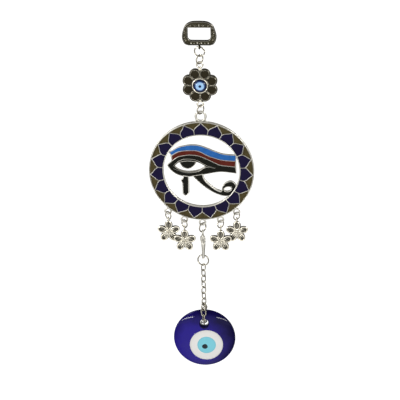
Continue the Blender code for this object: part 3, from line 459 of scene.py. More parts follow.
def slab(bm, outline, holes, front, back, soft, slot=0, steps=3):
    """A flat casting with holes, whose edges are rounded by a soft radius, front and back."""
    turns = [math.pi / 2 * k / steps for k in range(steps + 1)]
    profile = [(soft * (1 - math.sin(t)), front + soft * (1 - math.cos(t))) for t in turns]
    profile += [(d, back + front - y) for d, y in reversed(profile)]
    faces_at = ([], [])
    for shape, sign in [(outline, 1)] + [(hole, -1) for hole in holes]:
        rings = [[bm.verts.new((x, y, z)) for x, z in inset(shape, d * sign)] for d, y in profile]
        for a, b in zip(rings, rings[1:]):
            for k in range(len(a)):
                bm.faces.new((a[k - 1], a[k], b[k], b[k - 1])).material_index = slot
        faces_at[0].append(rings[0])
        faces_at[1].append(rings[-1])
    for loops in faces_at:
        cap_face(bm, loops, slot)


def pillow(bm, outline, holes, floor, brim, middle_y, reach, slot=0):
    """Enamel in a cell: it climbs its walls to the brim and settles to its middle level."""
    profile = [(0.0, floor), (0.0, brim), (reach * 0.35, brim + (middle_y - brim) * 0.6),
               (reach, middle_y)]
    tops, floors = [], []
    for shape, sign in [(outline, 1)] + [(hole, -1) for hole in holes]:
        rings = [[bm.verts.new((x, y, z)) for x, z in inset(shape, d * sign)] for d, y in profile]
        for a, b in zip(rings, rings[1:]):
            for k in range(len(a)):
                bm.faces.new((a[k - 1], a[k], b[k], b[k - 1])).material_index = slot
        tops.append(rings[-1])
        floors.append(rings[0])
    cap_face(bm, tops, slot)
    cap_face(bm, floors, slot)


def piece(bm, name, body, nodes, skins, sharp=42.0):
    """Ends a piece: metres, shading, materials, and the frame body and nodes that it stands for."""
    bmesh.ops.recalc_face_normals(bm, faces=bm.faces)
    bmesh.ops.scale(bm, vec=(MM, MM, MM), verts=bm.verts)
    mesh = bpy.data.meshes.new(name)
    bm.to_mesh(mesh)
    bm.free()
    for finish in skins:
        mesh.materials.append(finish)
    made = bpy.data.objects.new(name, mesh)
    bpy.context.scene.collection.objects.link(made)
    mesh.shade_smooth()
    mesh.set_sharp_from_angle(angle=math.radians(sharp))
    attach(made, body)
    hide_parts(*nodes)
    return made


def wire_axes(node_name):
    """A wire ring's or link's centre, its long and wide directions, and its normal, in millimetres."""
    points = np.array([v.co for v in frame["nodes"][node_name].data.vertices], float) / MM
    points = np.unique(points.round(4), axis=0)
    centre = points.mean(0)
    _, _, axes = np.linalg.svd(points - centre)
    long, wide, normal = (Vector(a) for a in axes)
    reach = float(np.linalg.norm(points - centre, axis=1).mean())
    return Vector(centre), long, wide, normal, reach


def body_with(node_name):
    """The frame body that a node belongs to."""
    bodies = frame["record"]["behaviour"]["bodies"]
    return next(body for body, nodes in bodies.items() if node_name in nodes)


# ---- hanger plate -----------------------------------------------------------------------------

HANGER = {"half": 10.3, "top": 4.1, "low": 11.3, "thick": 2.0}
WINDOW = {"width": 13.6, "height": 8.1, "corner": 2.2}
HANGER_TAIL = {"radius": 1.32, "wire": 0.55, "drop": 0.75}


def hanger_outline(steps):
    w, t, b = HANGER["half"], HANGER["top"], HANGER["low"]
    right = smooth([(0, t), (w * 0.43, t * 0.93), (w * 0.7, t * 0.6), (w * 0.85, t * 0.13),
                    (w * 0.95, -b * 0.21), (w, -b * 0.42), (w, -b * 0.6), (w * 0.94, -b * 0.79),
                    (w * 0.83, -b * 0.93), (w * 0.63, -b)], steps)
    return right + mirrored(right[1:])


def window_outline(steps):
    half, low, r = WINDOW["width"] / 2, -WINDOW["height"], WINDOW["corner"]
    turns = [math.radians(90.0 * k / steps) for k in range(steps + 1)]
    right = [(half - r * (1 - math.cos(a)), low + r * (1 - math.sin(a))) for a in turns]
    return [(-half, 0), (half, 0)] + right + mirrored(right)


def scroll(x, z, radius, turns, start, tail=()):
    """A curl that winds out from its eye, and then follows a tail."""
    count = 18
    points = []
    for k in range(count):
        share = k / (count - 1)
        a = math.radians(start + turns * 360.0 * share)
        points.append((x + radius * (0.18 + 0.82 * share) * math.cos(a),
                       z + radius * (0.18 + 0.82 * share) * math.sin(a)))
    return points + list(tail)


def hanger_scrolls():
    """The right-hand half of the relief: path, half width."""
    return [
        (scroll(2.2, 1.25, 0.85, 1.1, 200, [(3.6, 2.2), (4.6, 1.9)]), 0.2),
        (scroll(5.3, 1.15, 0.7, -1.1, 20, [(4.6, 2.6), (3.2, 3.0), (1.6, 3.1)]), 0.2),
        ([(6.2, 0.9), (7.2, 0.5), (7.9, -0.5), (8.2, -1.4)], 0.22),
        ([(5.9, 1.9), (7.0, 1.4), (7.7, 0.6)], 0.15),
        (scroll(8.3, -2.4, 0.7, 1.0, 90, [(9.0, -3.2), (8.9, -4.0)]), 0.18),
        (scroll(8.1, -4.9, 0.7, -1.0, 60, [(8.7, -5.8), (8.8, -6.5)]), 0.18),
        (scroll(8.2, -7.5, 0.7, 1.0, 100, [(8.2, -8.5), (7.5, -9.3), (6.4, -9.8)]), 0.2),
    ]


class ORNAMENT_OT_hanger(bpy.types.Operator):
    """Builds the hanger plate with its rims, scrolls, spike and granules"""

    bl_idname = "ornament.hanger"
    bl_label = "Hanger plate"

    def execute(self, context):
        bm = bmesh.new()
        half = HANGER["thick"] / 2
        ground, rim = -half + 0.42, -half + 0.3
        outline, window = hanger_outline(6), window_outline(6)
        slab(bm, outline, [window], ground, half, 0.3)
        # The outer and window rims take slot 2: a lighter tone that is partly rubbed plating and partly a
        # painted rim highlight.
        ridge(bm, inset(outline, 0.42), rim, 0.36, 0.3, joined=True, slot=2)
        ridge(bm, inset(window, -0.34), rim, 0.3, 0.26, joined=True, slot=2)
        for path, width in hanger_scrolls():
            for side in (path, mirrored(path)):
                ridge(bm, smooth(side, 2), ground, width, 0.46, slot=1, pointed=True)
        spike = [(0, 0.5), (0, 1.4), (0, 2.4), (0, 3.5)]
        ridge(bm, smooth(spike, 4), ground, [0.1, 0.2, 0.34, 0.42, 0.46, 0.46, 0.42, 0.38, 0.32, 0.26,
                                           0.2, 0.14, 0.08], 0.52, slot=1)
        for x, z, r in ((-4.9, -9.75, 0.5), (-1.1, -9.65, 0.58), (1.3, -9.65, 0.58), (5.4, -9.75, 0.5),
                        (-3.0, -9.9, 0.3), (3.3, -9.9, 0.3), (0.1, -10.2, 0.3)):
            grain(bm, (x, ground, z), r, 0.8, slot=1)
        for x in (-8.9, 8.9):
            for z in (-3.7, -6.2):
                grain(bm, (x, ground, z), 0.26, 0.9, slot=1)
        hoop(bm, (0, 0, -HANGER["low"] - HANGER_TAIL["drop"]), HANGER_TAIL["radius"],
             HANGER_TAIL["wire"], (0, 1, 0), 32, 12)
        worn = finish_named("worn_relief", plated, metal("silver"), metal("tarnish"), 0.3, 0.5)
        # Lighter tone for the rims: rubbed plating, with a painted rim highlight in it.
        edge = finish_named("worn_edge", plated, metal("silver", 0.17), metal("tarnish"), 0.3, 0.5)
        piece(bm, "hanger_casting", "hanger", ["hanger_plate"], [dark_ground(), worn, edge])
        return {"FINISHED"}


# ---- wire rings and links ---------------------------------------------------------------------

JUMP_RINGS = ("rosette_top_ring", "rosette_bottom_ring", "clasp_ring", "chain_end_ring")
CHARM_RINGS = tuple(f"charm_ring_{k}" for k in range(1, 5))
LINKS = tuple(f"chain_link_{k}" for k in range(1, 8)) + tuple(f"loop_link_{k}" for k in range(1, 10))
LINK_ROUND = 1.5  # radius of a link's ends, at the middle of its wire
LINK_STRAIGHT = 0.75  # half the length of its straight sides


def jump_ring(name, wire, wires):
    """One ring with a hair-wide seam at its side, where its two ends were pushed together."""
    centre, _, _, normal, radius = wire_axes(name)
    side = UP.cross(normal).normalized()
    slack = wires.seam / MM / radius / 2
    count = wires.along
    path = []
    for k in range(count + 1):
        t = slack + (2 * math.pi - 2 * slack) * k / count + math.radians(24)
        path.append(centre + side * (radius * math.cos(t)) + UP * (radius * math.sin(t)))
    bm = bmesh.new()
    sweep(bm, path, wire, wire, normal, False, wires.around)
    return piece(bm, f"{name}_wire", body_with(name), [name], [wire_silver()])


class ORNAMENT_OT_rings(bpy.types.Operator):
    """Builds the plain jump rings and the hanger's sprung ring"""

    bl_idname = "ornament.rings"
    bl_label = "Jump rings"

    def execute(self, context):
        wires = context.scene.ornament_wires
        for name in JUMP_RINGS:
            jump_ring(name, wires.ring_wire / MM, wires)
        for name in CHARM_RINGS:
            jump_ring(name, wires.charm_wire / MM, wires)
        self.sprung_ring(wires)
        return {"FINISHED"}

    def sprung_ring(self, wires):
        """The hanger's ring, whose end stands off to the upper right."""
        radius, wire = 3.1, wires.ring_wire / MM
        yaw = math.radians(-12)
        side = Vector((math.cos(yaw), math.sin(yaw), 0))
        normal = side.cross(-UP)
        centre = Vector((0, 0, bottom_of("hanger_ring").z + radius + wire * 0.866))
        path = []
        for k in range(20):
            t = math.radians(40 - k * 15.3)
            lift = 0.35 * (1 - k / 19)
            around = side * (radius * math.cos(t)) + UP * (radius * math.sin(t))
            path.append(centre + around + normal * lift)
        for along, up, lift in ((-0.02, 1.0, 0.0), (0.28, 0.98, -0.15), (0.6, 0.84, -0.55),
                                (0.9, 0.6, -0.85), (1.15, 0.28, -1.0)):
            path.append(centre + side * (radius * along) + UP * (radius * up) + normal * lift)
        bm = bmesh.new()
        sweep(bm, [Vector(p) for p in smooth([tuple(p) for p in path], 4)], wire, wire, normal, False,
              wires.around)
        piece(bm, "hanger_ring_wire", "hanger_ring", ["hanger_ring"], [wire_silver()])


class ORNAMENT_OT_chain(bpy.types.Operator):
    """Builds the links of the hanging chain and of the loop through the bead"""

    bl_idname = "ornament.chain"
    bl_label = "Chain links"

    def execute(self, context):
        wires = context.scene.ornament_wires
        for name in LINKS:
            centre, long, wide, normal, _ = wire_axes(name)
            path = []
            steps = wires.along // 4
            for end in (1, -1):
                for k in range(steps + 1):
                    t = math.pi * k / steps
                    path.append(centre + wide * (end * LINK_ROUND * math.cos(t))
                                + long * (end * (LINK_STRAIGHT + LINK_ROUND * math.sin(t))))
            bm = bmesh.new()
            sweep(bm, path, wires.link_wire / MM, wires.link_wire / MM, normal, True, wires.around)
            piece(bm, f"{name}_wire", body_with(name), [name], [wire_silver()])
        return {"FINISHED"}


# ---- rosette ----------------------------------------------------------------------------------

PETALS = 8
PETAL_ORBIT = 7.35
PETAL_RADIUS = 3.65
CUP_RADIUS = 2.6
BEZEL_RADIUS = 4.9
STONE_RADIUS = 4.1
ROSETTE_FRONT = -1.1
LUG_PLAY_RADIUS = {"rosette": (1.82, 0.55), "charm": (1.78, 0.55), "top": (2.95, 0.75)}


def rosette_centre():
    return middle("rosette_eye_glass").z


def petal_turns():
    return [2 * math.pi * (k + 0.5) / PETALS for k in range(PETALS)]


def petal_cup(turn, radius, keep, count, z0):
    """A petal's cup: its circle, cut off by a circle round the bezel."""
    c, s = math.cos(turn), math.sin(turn)
    points = []
    for u, v in circle(PETAL_ORBIT + 0.12, 0, radius, count):
        push = max(1.0, keep / math.hypot(u, v))
        points.append((u * push * c - v * push * s, z0 + u * push * s + v * push * c))
    return points


def rosette_outline(z0, steps):
    points = []
    for k in range(PETALS * steps):
        turn = 2 * math.pi * k / (PETALS * steps)
        off = (turn % (2 * math.pi / PETALS)) - math.pi / PETALS
        reach = PETAL_ORBIT * math.cos(off) + math.sqrt(
            PETAL_RADIUS ** 2 - (PETAL_ORBIT * math.sin(off)) ** 2)
        points.append((reach * math.cos(turn), z0 + reach * math.sin(turn)))
    return points


class ORNAMENT_OT_rosette(bpy.types.Operator):
    """Builds the rosette's casting: petals with two rims each, bezel and lugs"""

    bl_idname = "ornament.rosette"
    bl_label = "Rosette"

    def execute(self, context):
        z0 = rosette_centre()
        front, back = ROSETTE_FRONT, -ROSETTE_FRONT
        bm = bmesh.new()
        slab(bm, rosette_outline(z0, 14), [], front + 0.85, back, 0.35)
        for turn in petal_turns():
            x, z = PETAL_ORBIT * math.cos(turn), z0 + PETAL_ORBIT * math.sin(turn)
            ridge(bm, circle(x, z, PETAL_RADIUS - 0.32, 40), front + 0.5, 0.3, 0.45, True)
            ridge(bm, petal_cup(turn, CUP_RADIUS + 0.16, BEZEL_RADIUS + 0.1, 40, z0), front + 0.42,
                  0.24, 0.5, True, slot=1)
        r = BEZEL_RADIUS
        bezel = [(0, back - 0.5), (r - 0.2, back - 0.5), (r + 0.1, front + 0.4), (r, front - 0.2),
                 (r - 0.18, front - 0.44), (r - 0.4, front - 0.5), (r - 0.6, front - 0.42),
                 (r - 0.74, front - 0.1), (r - 0.76, front + 0.3), (0, front + 0.3)]
        lathe(bm, bezel, 0, z0, 56, 1)
        lug, wire = LUG_PLAY_RADIUS["rosette"]
        for z, up in ((top_of("rosette_setting").z - lug - wire, 1),
                      (bottom_of("rosette_setting").z + lug + wire, -1)):
            hoop(bm, (0, 0, z), lug, wire - 0.05, (1, 0, 0), 36, 12, 1)
            inner = z0 + up * 8.2
            outer = z - up * (lug + 0.1)
            arm = [(-1.6, inner), (-1.05, (inner + outer) / 2), (-0.8, outer), (0.8, outer),
                   (1.05, (inner + outer) / 2), (1.6, inner)]
            slab(bm, arm, [], -0.5, 0.5, 0.2, 1)
        rims = finish_named("bright_rim", plated, metal("silver"), metal("tarnish"), 0.22, 0.7)
        ground = finish_named("rosette_ground", plated,
                              metal("silver", 0.22), metal("tarnish"), 0.3, 0.9)
        piece(bm, "rosette_casting", "rosette", ["rosette_setting"], [ground, rims])
        for k, turn in enumerate(petal_turns()):
            cup = bmesh.new()
            shape = petal_cup(turn, CUP_RADIUS - 0.04, BEZEL_RADIUS + 0.3, 36, z0)
            pillow(cup, shape, [], front + 0.8, front + 0.28, front + 0.42, 0.5)
            piece(cup, f"petal_enamel_{k + 1}", "rosette", [f"rosette_petal_fill_{k + 1}"],
                  [enamel("olive")])
        return {"FINISHED"}


class ORNAMENT_OT_rosette_eye(bpy.types.Operator):
    """Builds the small domed glass eye in the rosette"""

    bl_idname = "ornament.rosette_eye"
    bl_label = "Rosette eye"

    def execute(self, context):
        z0 = rosette_centre()
        colors = context.scene.ornament_enamel
        edge, height = ROSETTE_FRONT - 0.3, 1.1
        floor = ROSETTE_FRONT + 0.3

        def dome(rho, lift=0.0):
            return edge - height * (1 - (rho / STONE_RADIUS) ** 2) - lift

        def layer(radius, lift, back):
            steps = 10
            front = [(radius * k / steps, dome(radius * k / steps, lift)) for k in range(steps, -1, -1)]
            rolled = [(radius, dome(radius, 0) + 0.06)] + [(r, y) for r, y in front if r < radius - 0.05]
            return [(0, back), (radius, back)] + rolled

        navy = finish_named("navy_dome", glass_eye, (0, z0), STONE_RADIUS,
                            [(0.0, (0.02, 0.06, 0.2)), (0.72, (0.02, 0.05, 0.16)),
                             (0.84, (0.004, 0.008, 0.03)), (1.0, (0.012, 0.018, 0.04))], 0.06, 0.25)
        pale = finish_named("pale_iris", glass_eye, (0, z0), 2.74,
                            [(0.0, (0.20, 0.42, 0.75)), (0.45, (0.30, 0.52, 0.80)),
                             (0.72, (0.36, 0.56, 0.80)), (0.92, (0.24, 0.42, 0.70)),
                             (1.0, (0.10, 0.22, 0.5))], 0.08, 0.25, 0.08)
        dark = finish_named("iris_middle", glass_eye, (0, z0), 0.95,
                            [(0.0, tuple(colors.pupil)), (0.6, (0.004, 0.012, 0.05)),
                             (1.0, (0.01, 0.05, 0.2))], 0.06, 0.25)
        for name, radius, lift, finish, node_name, slot in (
                ("eye_dome", STONE_RADIUS, 0.0, navy, "rosette_eye_glass", "navy_glass"),
                ("eye_iris", 2.74, 0.07, pale, "rosette_eye_iris", "pale_blue"),
                ("eye_pupil", 0.9, 0.13, dark, "rosette_eye_pupil", "navy_glass")):
            bm = bmesh.new()
            lathe(bm, layer(radius, lift, floor), 0, z0, 56)
            piece(bm, name, "rosette", [node_name], [finish])
        return {"FINISHED"}


# ---- amulet -----------------------------------------------------------------------------------

LOTUS = 19
PITCH = 360.0 / LOTUS
OUTER = 31.65
INNER = 22.7
RING_HALF = 1.2
EYE_HALF = 1.0
LUG_ANGLES = [k * PITCH for k in (-2, -1, 0, 1, 2)]
# Half a lotus petal from its valley to its point: millimetres off the petal's middle, and radius.
LOTUS_SIDE = [(1.0, 25.9), (0.93, 26.7), (0.78, 27.5), (0.56, 28.35), (0.34, 29.15), (0.15, 30.05),
              (0.0, 31.0)]

BROW_TOP = [(-19.4, 11.6), (-14.2, 14.8), (-10.0, 16.0), (-5.8, 16.6), (-1.2, 16.2), (3.7, 14.5),
            (8.5, 12.4), (13.4, 10.8), (21.0, 10.1)]
BROW_MIDDLE = [(-17.9, 9.7), (-14.2, 12.0), (-10.0, 12.9), (-4.5, 13.05), (-1.2, 12.5), (3.7, 9.9),
               (8.5, 8.1), (13.4, 6.9), (20.6, 6.4)]
BROW_LOW = [(-17.8, 6.2), (-14.2, 8.8), (-10.0, 9.9), (-5.8, 10.2), (-1.2, 9.5), (3.7, 7.4),
            (8.5, 5.0), (11.8, 3.7), (20.4, 2.7)]
EYE_LOW = [(-20.3, 3.4), (-17.5, -0.3), (-13.3, -2.8), (-7.7, -3.65), (-2.9, -2.8), (2.0, -2.1),
           (8.5, -0.8), (13.4, -0.5), (20.9, -1.4)]
OPENING_TOP_LEFT = [(-16.0, 2.7), (-14.7, 4.3), (-13.1, 5.5)]
OPENING_IRIS = [(-13.1, 5.5), (-11.6, 2.8), (-8.1, 1.4), (-4.9, 2.9), (-3.0, 5.75)]
OPENING_TOP_RIGHT = [(-3.0, 5.75), (-0.4, 4.6), (2.4, 2.9)]
OPENING_LOW = [(2.4, 2.9), (-1.9, 0.4), (-7.7, -0.5), (-12.6, 0.4), (-16.0, 2.7)]
LID_LINE_TOP = [(-17.9, 1.9), (-13.3, 6.4), (-8.4, 7.6), (-2.9, 6.8), (3.0, 3.5), (9.8, 1.45)]
LID_LINE_LOW = [(9.8, 1.25), (3.0, 2.3), (-1.9, -0.3), (-7.7, -1.2), (-12.6, -0.3), (-17.9, 1.7)]
STEM = [(-8.0, -3.35), (-7.6, -5.0), (-7.5, -14.0), (-8.6, -15.6), (-10.1, -16.2), (-11.6, -15.0),
        (-11.7, -8.2), (-12.6, -6.0), (-11.4, -4.9), (-11.2, -2.9)]
LEG_OUTER = [(-5.9, -3.1), (-1.2, -8.0), (3.7, -11.9), (8.5, -14.7), (13.4, -16.2), (17.4, -15.7),
             (20.0, -13.2), (20.8, -10.1), (19.7, -7.6), (17.0, -6.5), (13.7, -8.0), (12.2, -10.4),
             (12.0, -12.3)]
LEG_INNER = [(11.6, -12.9), (8.5, -11.6), (5.3, -9.1), (2.0, -5.6), (0.8, -1.95)]
LEG_ROOT = (-2.9, -2.6)
CURL_HOLE = (15.6, -11.7, 2.1, 1.3)


def ring_centre():
    """The amulet's centre, below the top of its frame by the lug's height and the ring's radius."""
    radius, wire = LUG_PLAY_RADIUS["top"]
    return top_of("amulet_frame").z - 2 * (radius + wire) + 0.5 - OUTER + 0.1


def polar(radius, turn, z0):
    """A point at a radius, and at degrees from straight up."""
    a = math.radians(turn)
    return radius * math.sin(a), z0 + radius * math.cos(a)


def lotus_side(k, sign, z0, steps):
    """A petal's side from its valley to its point; the sign says which side."""
    return smooth([polar(r, k * PITCH + sign * u * PITCH / 2, z0) for u, r in LOTUS_SIDE], steps)


def lotus_cell(k, z0, steps):
    foot = INNER + 0.7
    low = [polar(foot, (k + u) * PITCH, z0) for u in (0.5, 0.3, 0.1, -0.1, -0.3, -0.5)]
    left = lotus_side(k, -1, z0, steps)
    right = lotus_side(k, 1, z0, steps)
    return left + list(reversed(right))[1:] + low


def bronze_cell(k, z0, steps):
    right = lotus_side(k, 1, z0, steps)
    left = lotus_side(k + 1, -1, z0, steps)
    rim = [polar(OUTER - 0.65, (k + u) * PITCH, z0) for u in (0.96, 0.84, 0.7, 0.55, 0.4, 0.28, 0.16, 0.04)]
    return list(reversed(right))[1:] + left[1:-1] + rim


def placed(points, z0):
    return [(x, z0 + z) for x, z in points]


def within(points, limit):
    """The outline with every point kept within a radius of the amulet's centre."""
    return [(x * share, z * share) for x, z in points
            for share in (min(1.0, limit / math.hypot(x, z)),)]


def eye_opening(steps):
    return (smooth(OPENING_TOP_LEFT, steps)[:-1] + smooth(OPENING_IRIS, steps * 2)[:-1]
            + smooth(OPENING_TOP_RIGHT, steps)[:-1] + smooth(OPENING_LOW, steps * 2)[:-1])


def curl_hole(grow, count):
    x, z, a, b = CURL_HOLE
    tilt = math.radians(18)
    return [(x + (a + grow) * u * math.cos(tilt) - (b + grow) * v * math.sin(tilt),
             z + (a + grow) * u * math.sin(tilt) + (b + grow) * v * math.cos(tilt))
            for u, v in circle(0, 0, 1, count)]


def leg_shape(steps):
    return smooth(LEG_OUTER, steps) + smooth(LEG_INNER, steps) + [LEG_ROOT]


class ORNAMENT_OT_amulet(bpy.types.Operator):
    """Builds the amulet's casting: rims, lotus walls, eye plates, eye lines and lugs"""

    bl_idname = "ornament.amulet"
    bl_label = "Amulet casting"

    def execute(self, context):
        z0 = ring_centre()
        bm = bmesh.new()
        ground = -RING_HALF + 0.5
        slab(bm, circle(0, z0, OUTER, 152), [circle(0, z0, INNER, 152)], ground, RING_HALF, 0.35)
        crest = -RING_HALF + 0.35
        ridge(bm, circle(0, z0, OUTER - 0.34, 190), crest, 0.34, 0.4, True)
        ridge(bm, circle(0, z0, INNER + 0.42, 152), crest, 0.4, 0.42, True)
        for k in range(LOTUS):
            for sign in (-1, 1):
                ridge(bm, lotus_side(k, sign, z0, 3), crest, 0.25, 0.36)
            stem = [polar(INNER + 0.6 + 0.68 * j, (k + 0.5) * PITCH, z0) for j in range(5)]
            ridge(bm, stem, crest, 0.25, 0.36)
            grain(bm, (stem[-1][0], crest, stem[-1][1]), 0.34, 1.1)
        self.eye(bm, z0)
        for angle in LUG_ANGLES:
            radius, wire = LUG_PLAY_RADIUS["charm"]
            orbit = OUTER + radius + wire - 0.5
            a = math.radians(angle)
            hoop(bm, (orbit * math.sin(a), 0, z0 - orbit * math.cos(a)), radius, wire, (1, 0, 0), 36, 12)
        radius, wire = LUG_PLAY_RADIUS["top"]
        hoop(bm, (0, 0, z0 + OUTER + radius + wire - 0.5), radius, wire, (1, 0, 0), 48, 14)
        foot = z0 + OUTER
        for side in (-1, 1):
            ridge(bm, [(side * 3.9, foot - 0.6), (side * 3.1, foot - 0.1), (side * 2.7, foot + 0.9)], 0,
                  0.5, 0.7)
        piece(bm, "amulet_casting", "amulet", ["amulet_frame"], [silver()])
        return {"FINISHED"}

    def eye(self, bm, z0):
        """The three plates of the eye and the raised lines on them."""
        reach = INNER + 0.55
        plates = [
            (within(smooth(BROW_TOP, 5) + list(reversed(smooth(EYE_LOW, 5))) + [BROW_LOW[0]], reach),
             [eye_opening(3)]),
            (STEM, []),
            (within(leg_shape(5), reach), [curl_hole(0, 28)]),
        ]
        crest = -EYE_HALF + 0.2
        for k, (outline, holes) in enumerate(plates):
            slab(bm, placed(outline, z0), [placed(h, z0) for h in holes], crest + 0.02 * k,
                 EYE_HALF - 0.02 * k, 0.25)
        wide, high = 0.24, 0.3
        for points in (BROW_TOP, BROW_MIDDLE, BROW_LOW, [BROW_LOW[0], EYE_LOW[0]] + EYE_LOW[1:]):
            ridge(bm, placed(within(smooth(points, 6), reach), z0), crest, wide, high)
        left = smooth([BROW_TOP[0], BROW_MIDDLE[0], BROW_LOW[0]], 4)
        right = smooth([BROW_TOP[-1], BROW_MIDDLE[-1], BROW_LOW[-1], EYE_LOW[-1]], 4)
        for points in (left, right):
            ridge(bm, placed(within(points, reach), z0), crest, wide, high)
        for points in (LID_LINE_TOP, LID_LINE_LOW):
            ridge(bm, placed(smooth(points, 6), z0), crest, 0.2, high, pointed=True)
        ridge(bm, placed(inset(eye_opening(3), -0.16), z0), crest, 0.16, high - 0.04, True)
        ridge(bm, placed(smooth(OPENING_IRIS, 6), z0), crest, 0.2, high)
        ridge(bm, placed(inset(STEM, 0.26), z0), crest, 0.3, high, True)
        ridge(bm, placed(smooth([(-7.85, -4.4), (-7.8, -9.0), (-7.85, -13.8)], 5), z0), crest, 0.42, 0.36)
        ridge(bm, placed(within(inset(leg_shape(5), 0.24), reach), z0), crest, 0.26, high, True)
        ridge(bm, placed(smooth([(x - 0.2, z - 0.45) for x, z in LEG_INNER], 5), z0), crest, 0.42, 0.36)
        ridge(bm, placed(curl_hole(0.28, 28), z0), crest, 0.28, high + 0.04, True)


class ORNAMENT_OT_enamels(bpy.types.Operator):
    """Pours the enamel: lotus petals, triangles, brow bands, lids, iris, stem and leg"""

    bl_idname = "ornament.enamels"
    bl_label = "Enamels"

    def execute(self, context):
        z0 = ring_centre()
        floor, brim, level = -RING_HALF + 0.7, -RING_HALF + 0.24, -RING_HALF + 0.34
        for name, cell, color, node_name, slot in (
                ("petal_enamels", lotus_cell, "navy", "ring_fill_navy", "navy"),
                ("triangle_enamels", bronze_cell, "bronze", "ring_fill_bronze", "bronze")):
            bm = bmesh.new()
            for k in range(LOTUS):
                pillow(bm, inset(cell(k, z0, 3), 0.1), [], floor, brim, level, 0.55)
            piece(bm, name, "amulet", [node_name], [enamel(color)])
        self.eye_fills(z0)
        return {"FINISHED"}

    def eye_fills(self, z0):
        reach = INNER + 0.2
        floor, brim, level = -EYE_HALF + 0.4, -EYE_HALF + 0.03, -EYE_HALF + 0.11
        blue = within(smooth(BROW_TOP, 5) + list(reversed(smooth(BROW_MIDDLE, 5))), reach)
        red = within(smooth(BROW_MIDDLE, 5) + list(reversed(smooth(BROW_LOW, 5))), reach)
        black = within(smooth(BROW_LOW, 5) + list(reversed(smooth(EYE_LOW, 5))), reach)
        iris = smooth(OPENING_IRIS, 6)
        leg = within(leg_shape(5), reach)
        top = smooth(OPENING_TOP_LEFT, 3)[:-1] + [OPENING_IRIS[0]] + smooth(
            [(-13.1, 5.5), (-8.2, 6.3), (-3.0, 5.75)], 6)[1:-1] + smooth(OPENING_TOP_RIGHT, 3)
        opening = top[:-1] + smooth(OPENING_LOW, 6)[:-1]
        iris_shape = iris + smooth([(-3.0, 5.75), (-8.2, 6.3), (-13.1, 5.5)], 6)[1:-1]
        for name, outline, holes, color, node_name, slot in (
                ("brow_blue_enamel", blue, [], "blue", "brow_fill_blue", "brow_blue"),
                ("brow_red_enamel", red, [], "red", "brow_fill_red", "brow_red"),
                ("lid_enamel", black, [inset(opening, -0.22)], "black", "eye_fill_black", "eye_black"),
                ("iris_enamel", inset(iris_shape, 0.12), [], "black", "iris_fill_black", "eye_black"),
                ("stem_enamel", inset(STEM, 0.2), [], "black", "stem_fill_black", "eye_black"),
                ("leg_enamel", inset(leg, 0.1), [curl_hole(0.3, 28)], "black", "leg_fill_black",
                 "eye_black")):
            bm = bmesh.new()
            edge = inset(outline, 0.08)
            pillow(bm, placed(edge, z0), [placed(h, z0) for h in holes], floor, brim, level, 0.22)
            piece(bm, name, "amulet", [node_name], [enamel(color)])


# ---- charms -----------------------------------------------------------------------------------

CHARM_ORBIT = 3.9
CHARM_PETAL = (3.0, 2.4)
CHARM_HALF = 0.8
CHARM_LOOP = (1.35, 0.385)
CHARM_LEVELS = {1: 1.0, 2: -1.0, 3: -1.0, 4: 1.0}  # each charm's middle, from front to back


def charm_reach(off):
    """Distance from a charm's centre to its edge: five oval petals joined in the middle."""
    a, b = CHARM_PETAL
    c, s = math.cos(off), math.sin(off)
    qa = (c / a) ** 2 + (s / b) ** 2
    qb = -2 * CHARM_ORBIT * c / a ** 2
    inside = qb * qb - 4 * qa * ((CHARM_ORBIT / a) ** 2 - 1)
    return 1.9 if inside < 0 else max(1.9, (-qb + math.sqrt(inside)) / (2 * qa))


def petal_point(x, z, turn, along, aside):
    """A point of a petal: along it from the charm's centre, and to its side."""
    s, c = math.sin(turn), math.cos(turn)
    return x + along * s + aside * c, z + along * c - aside * s


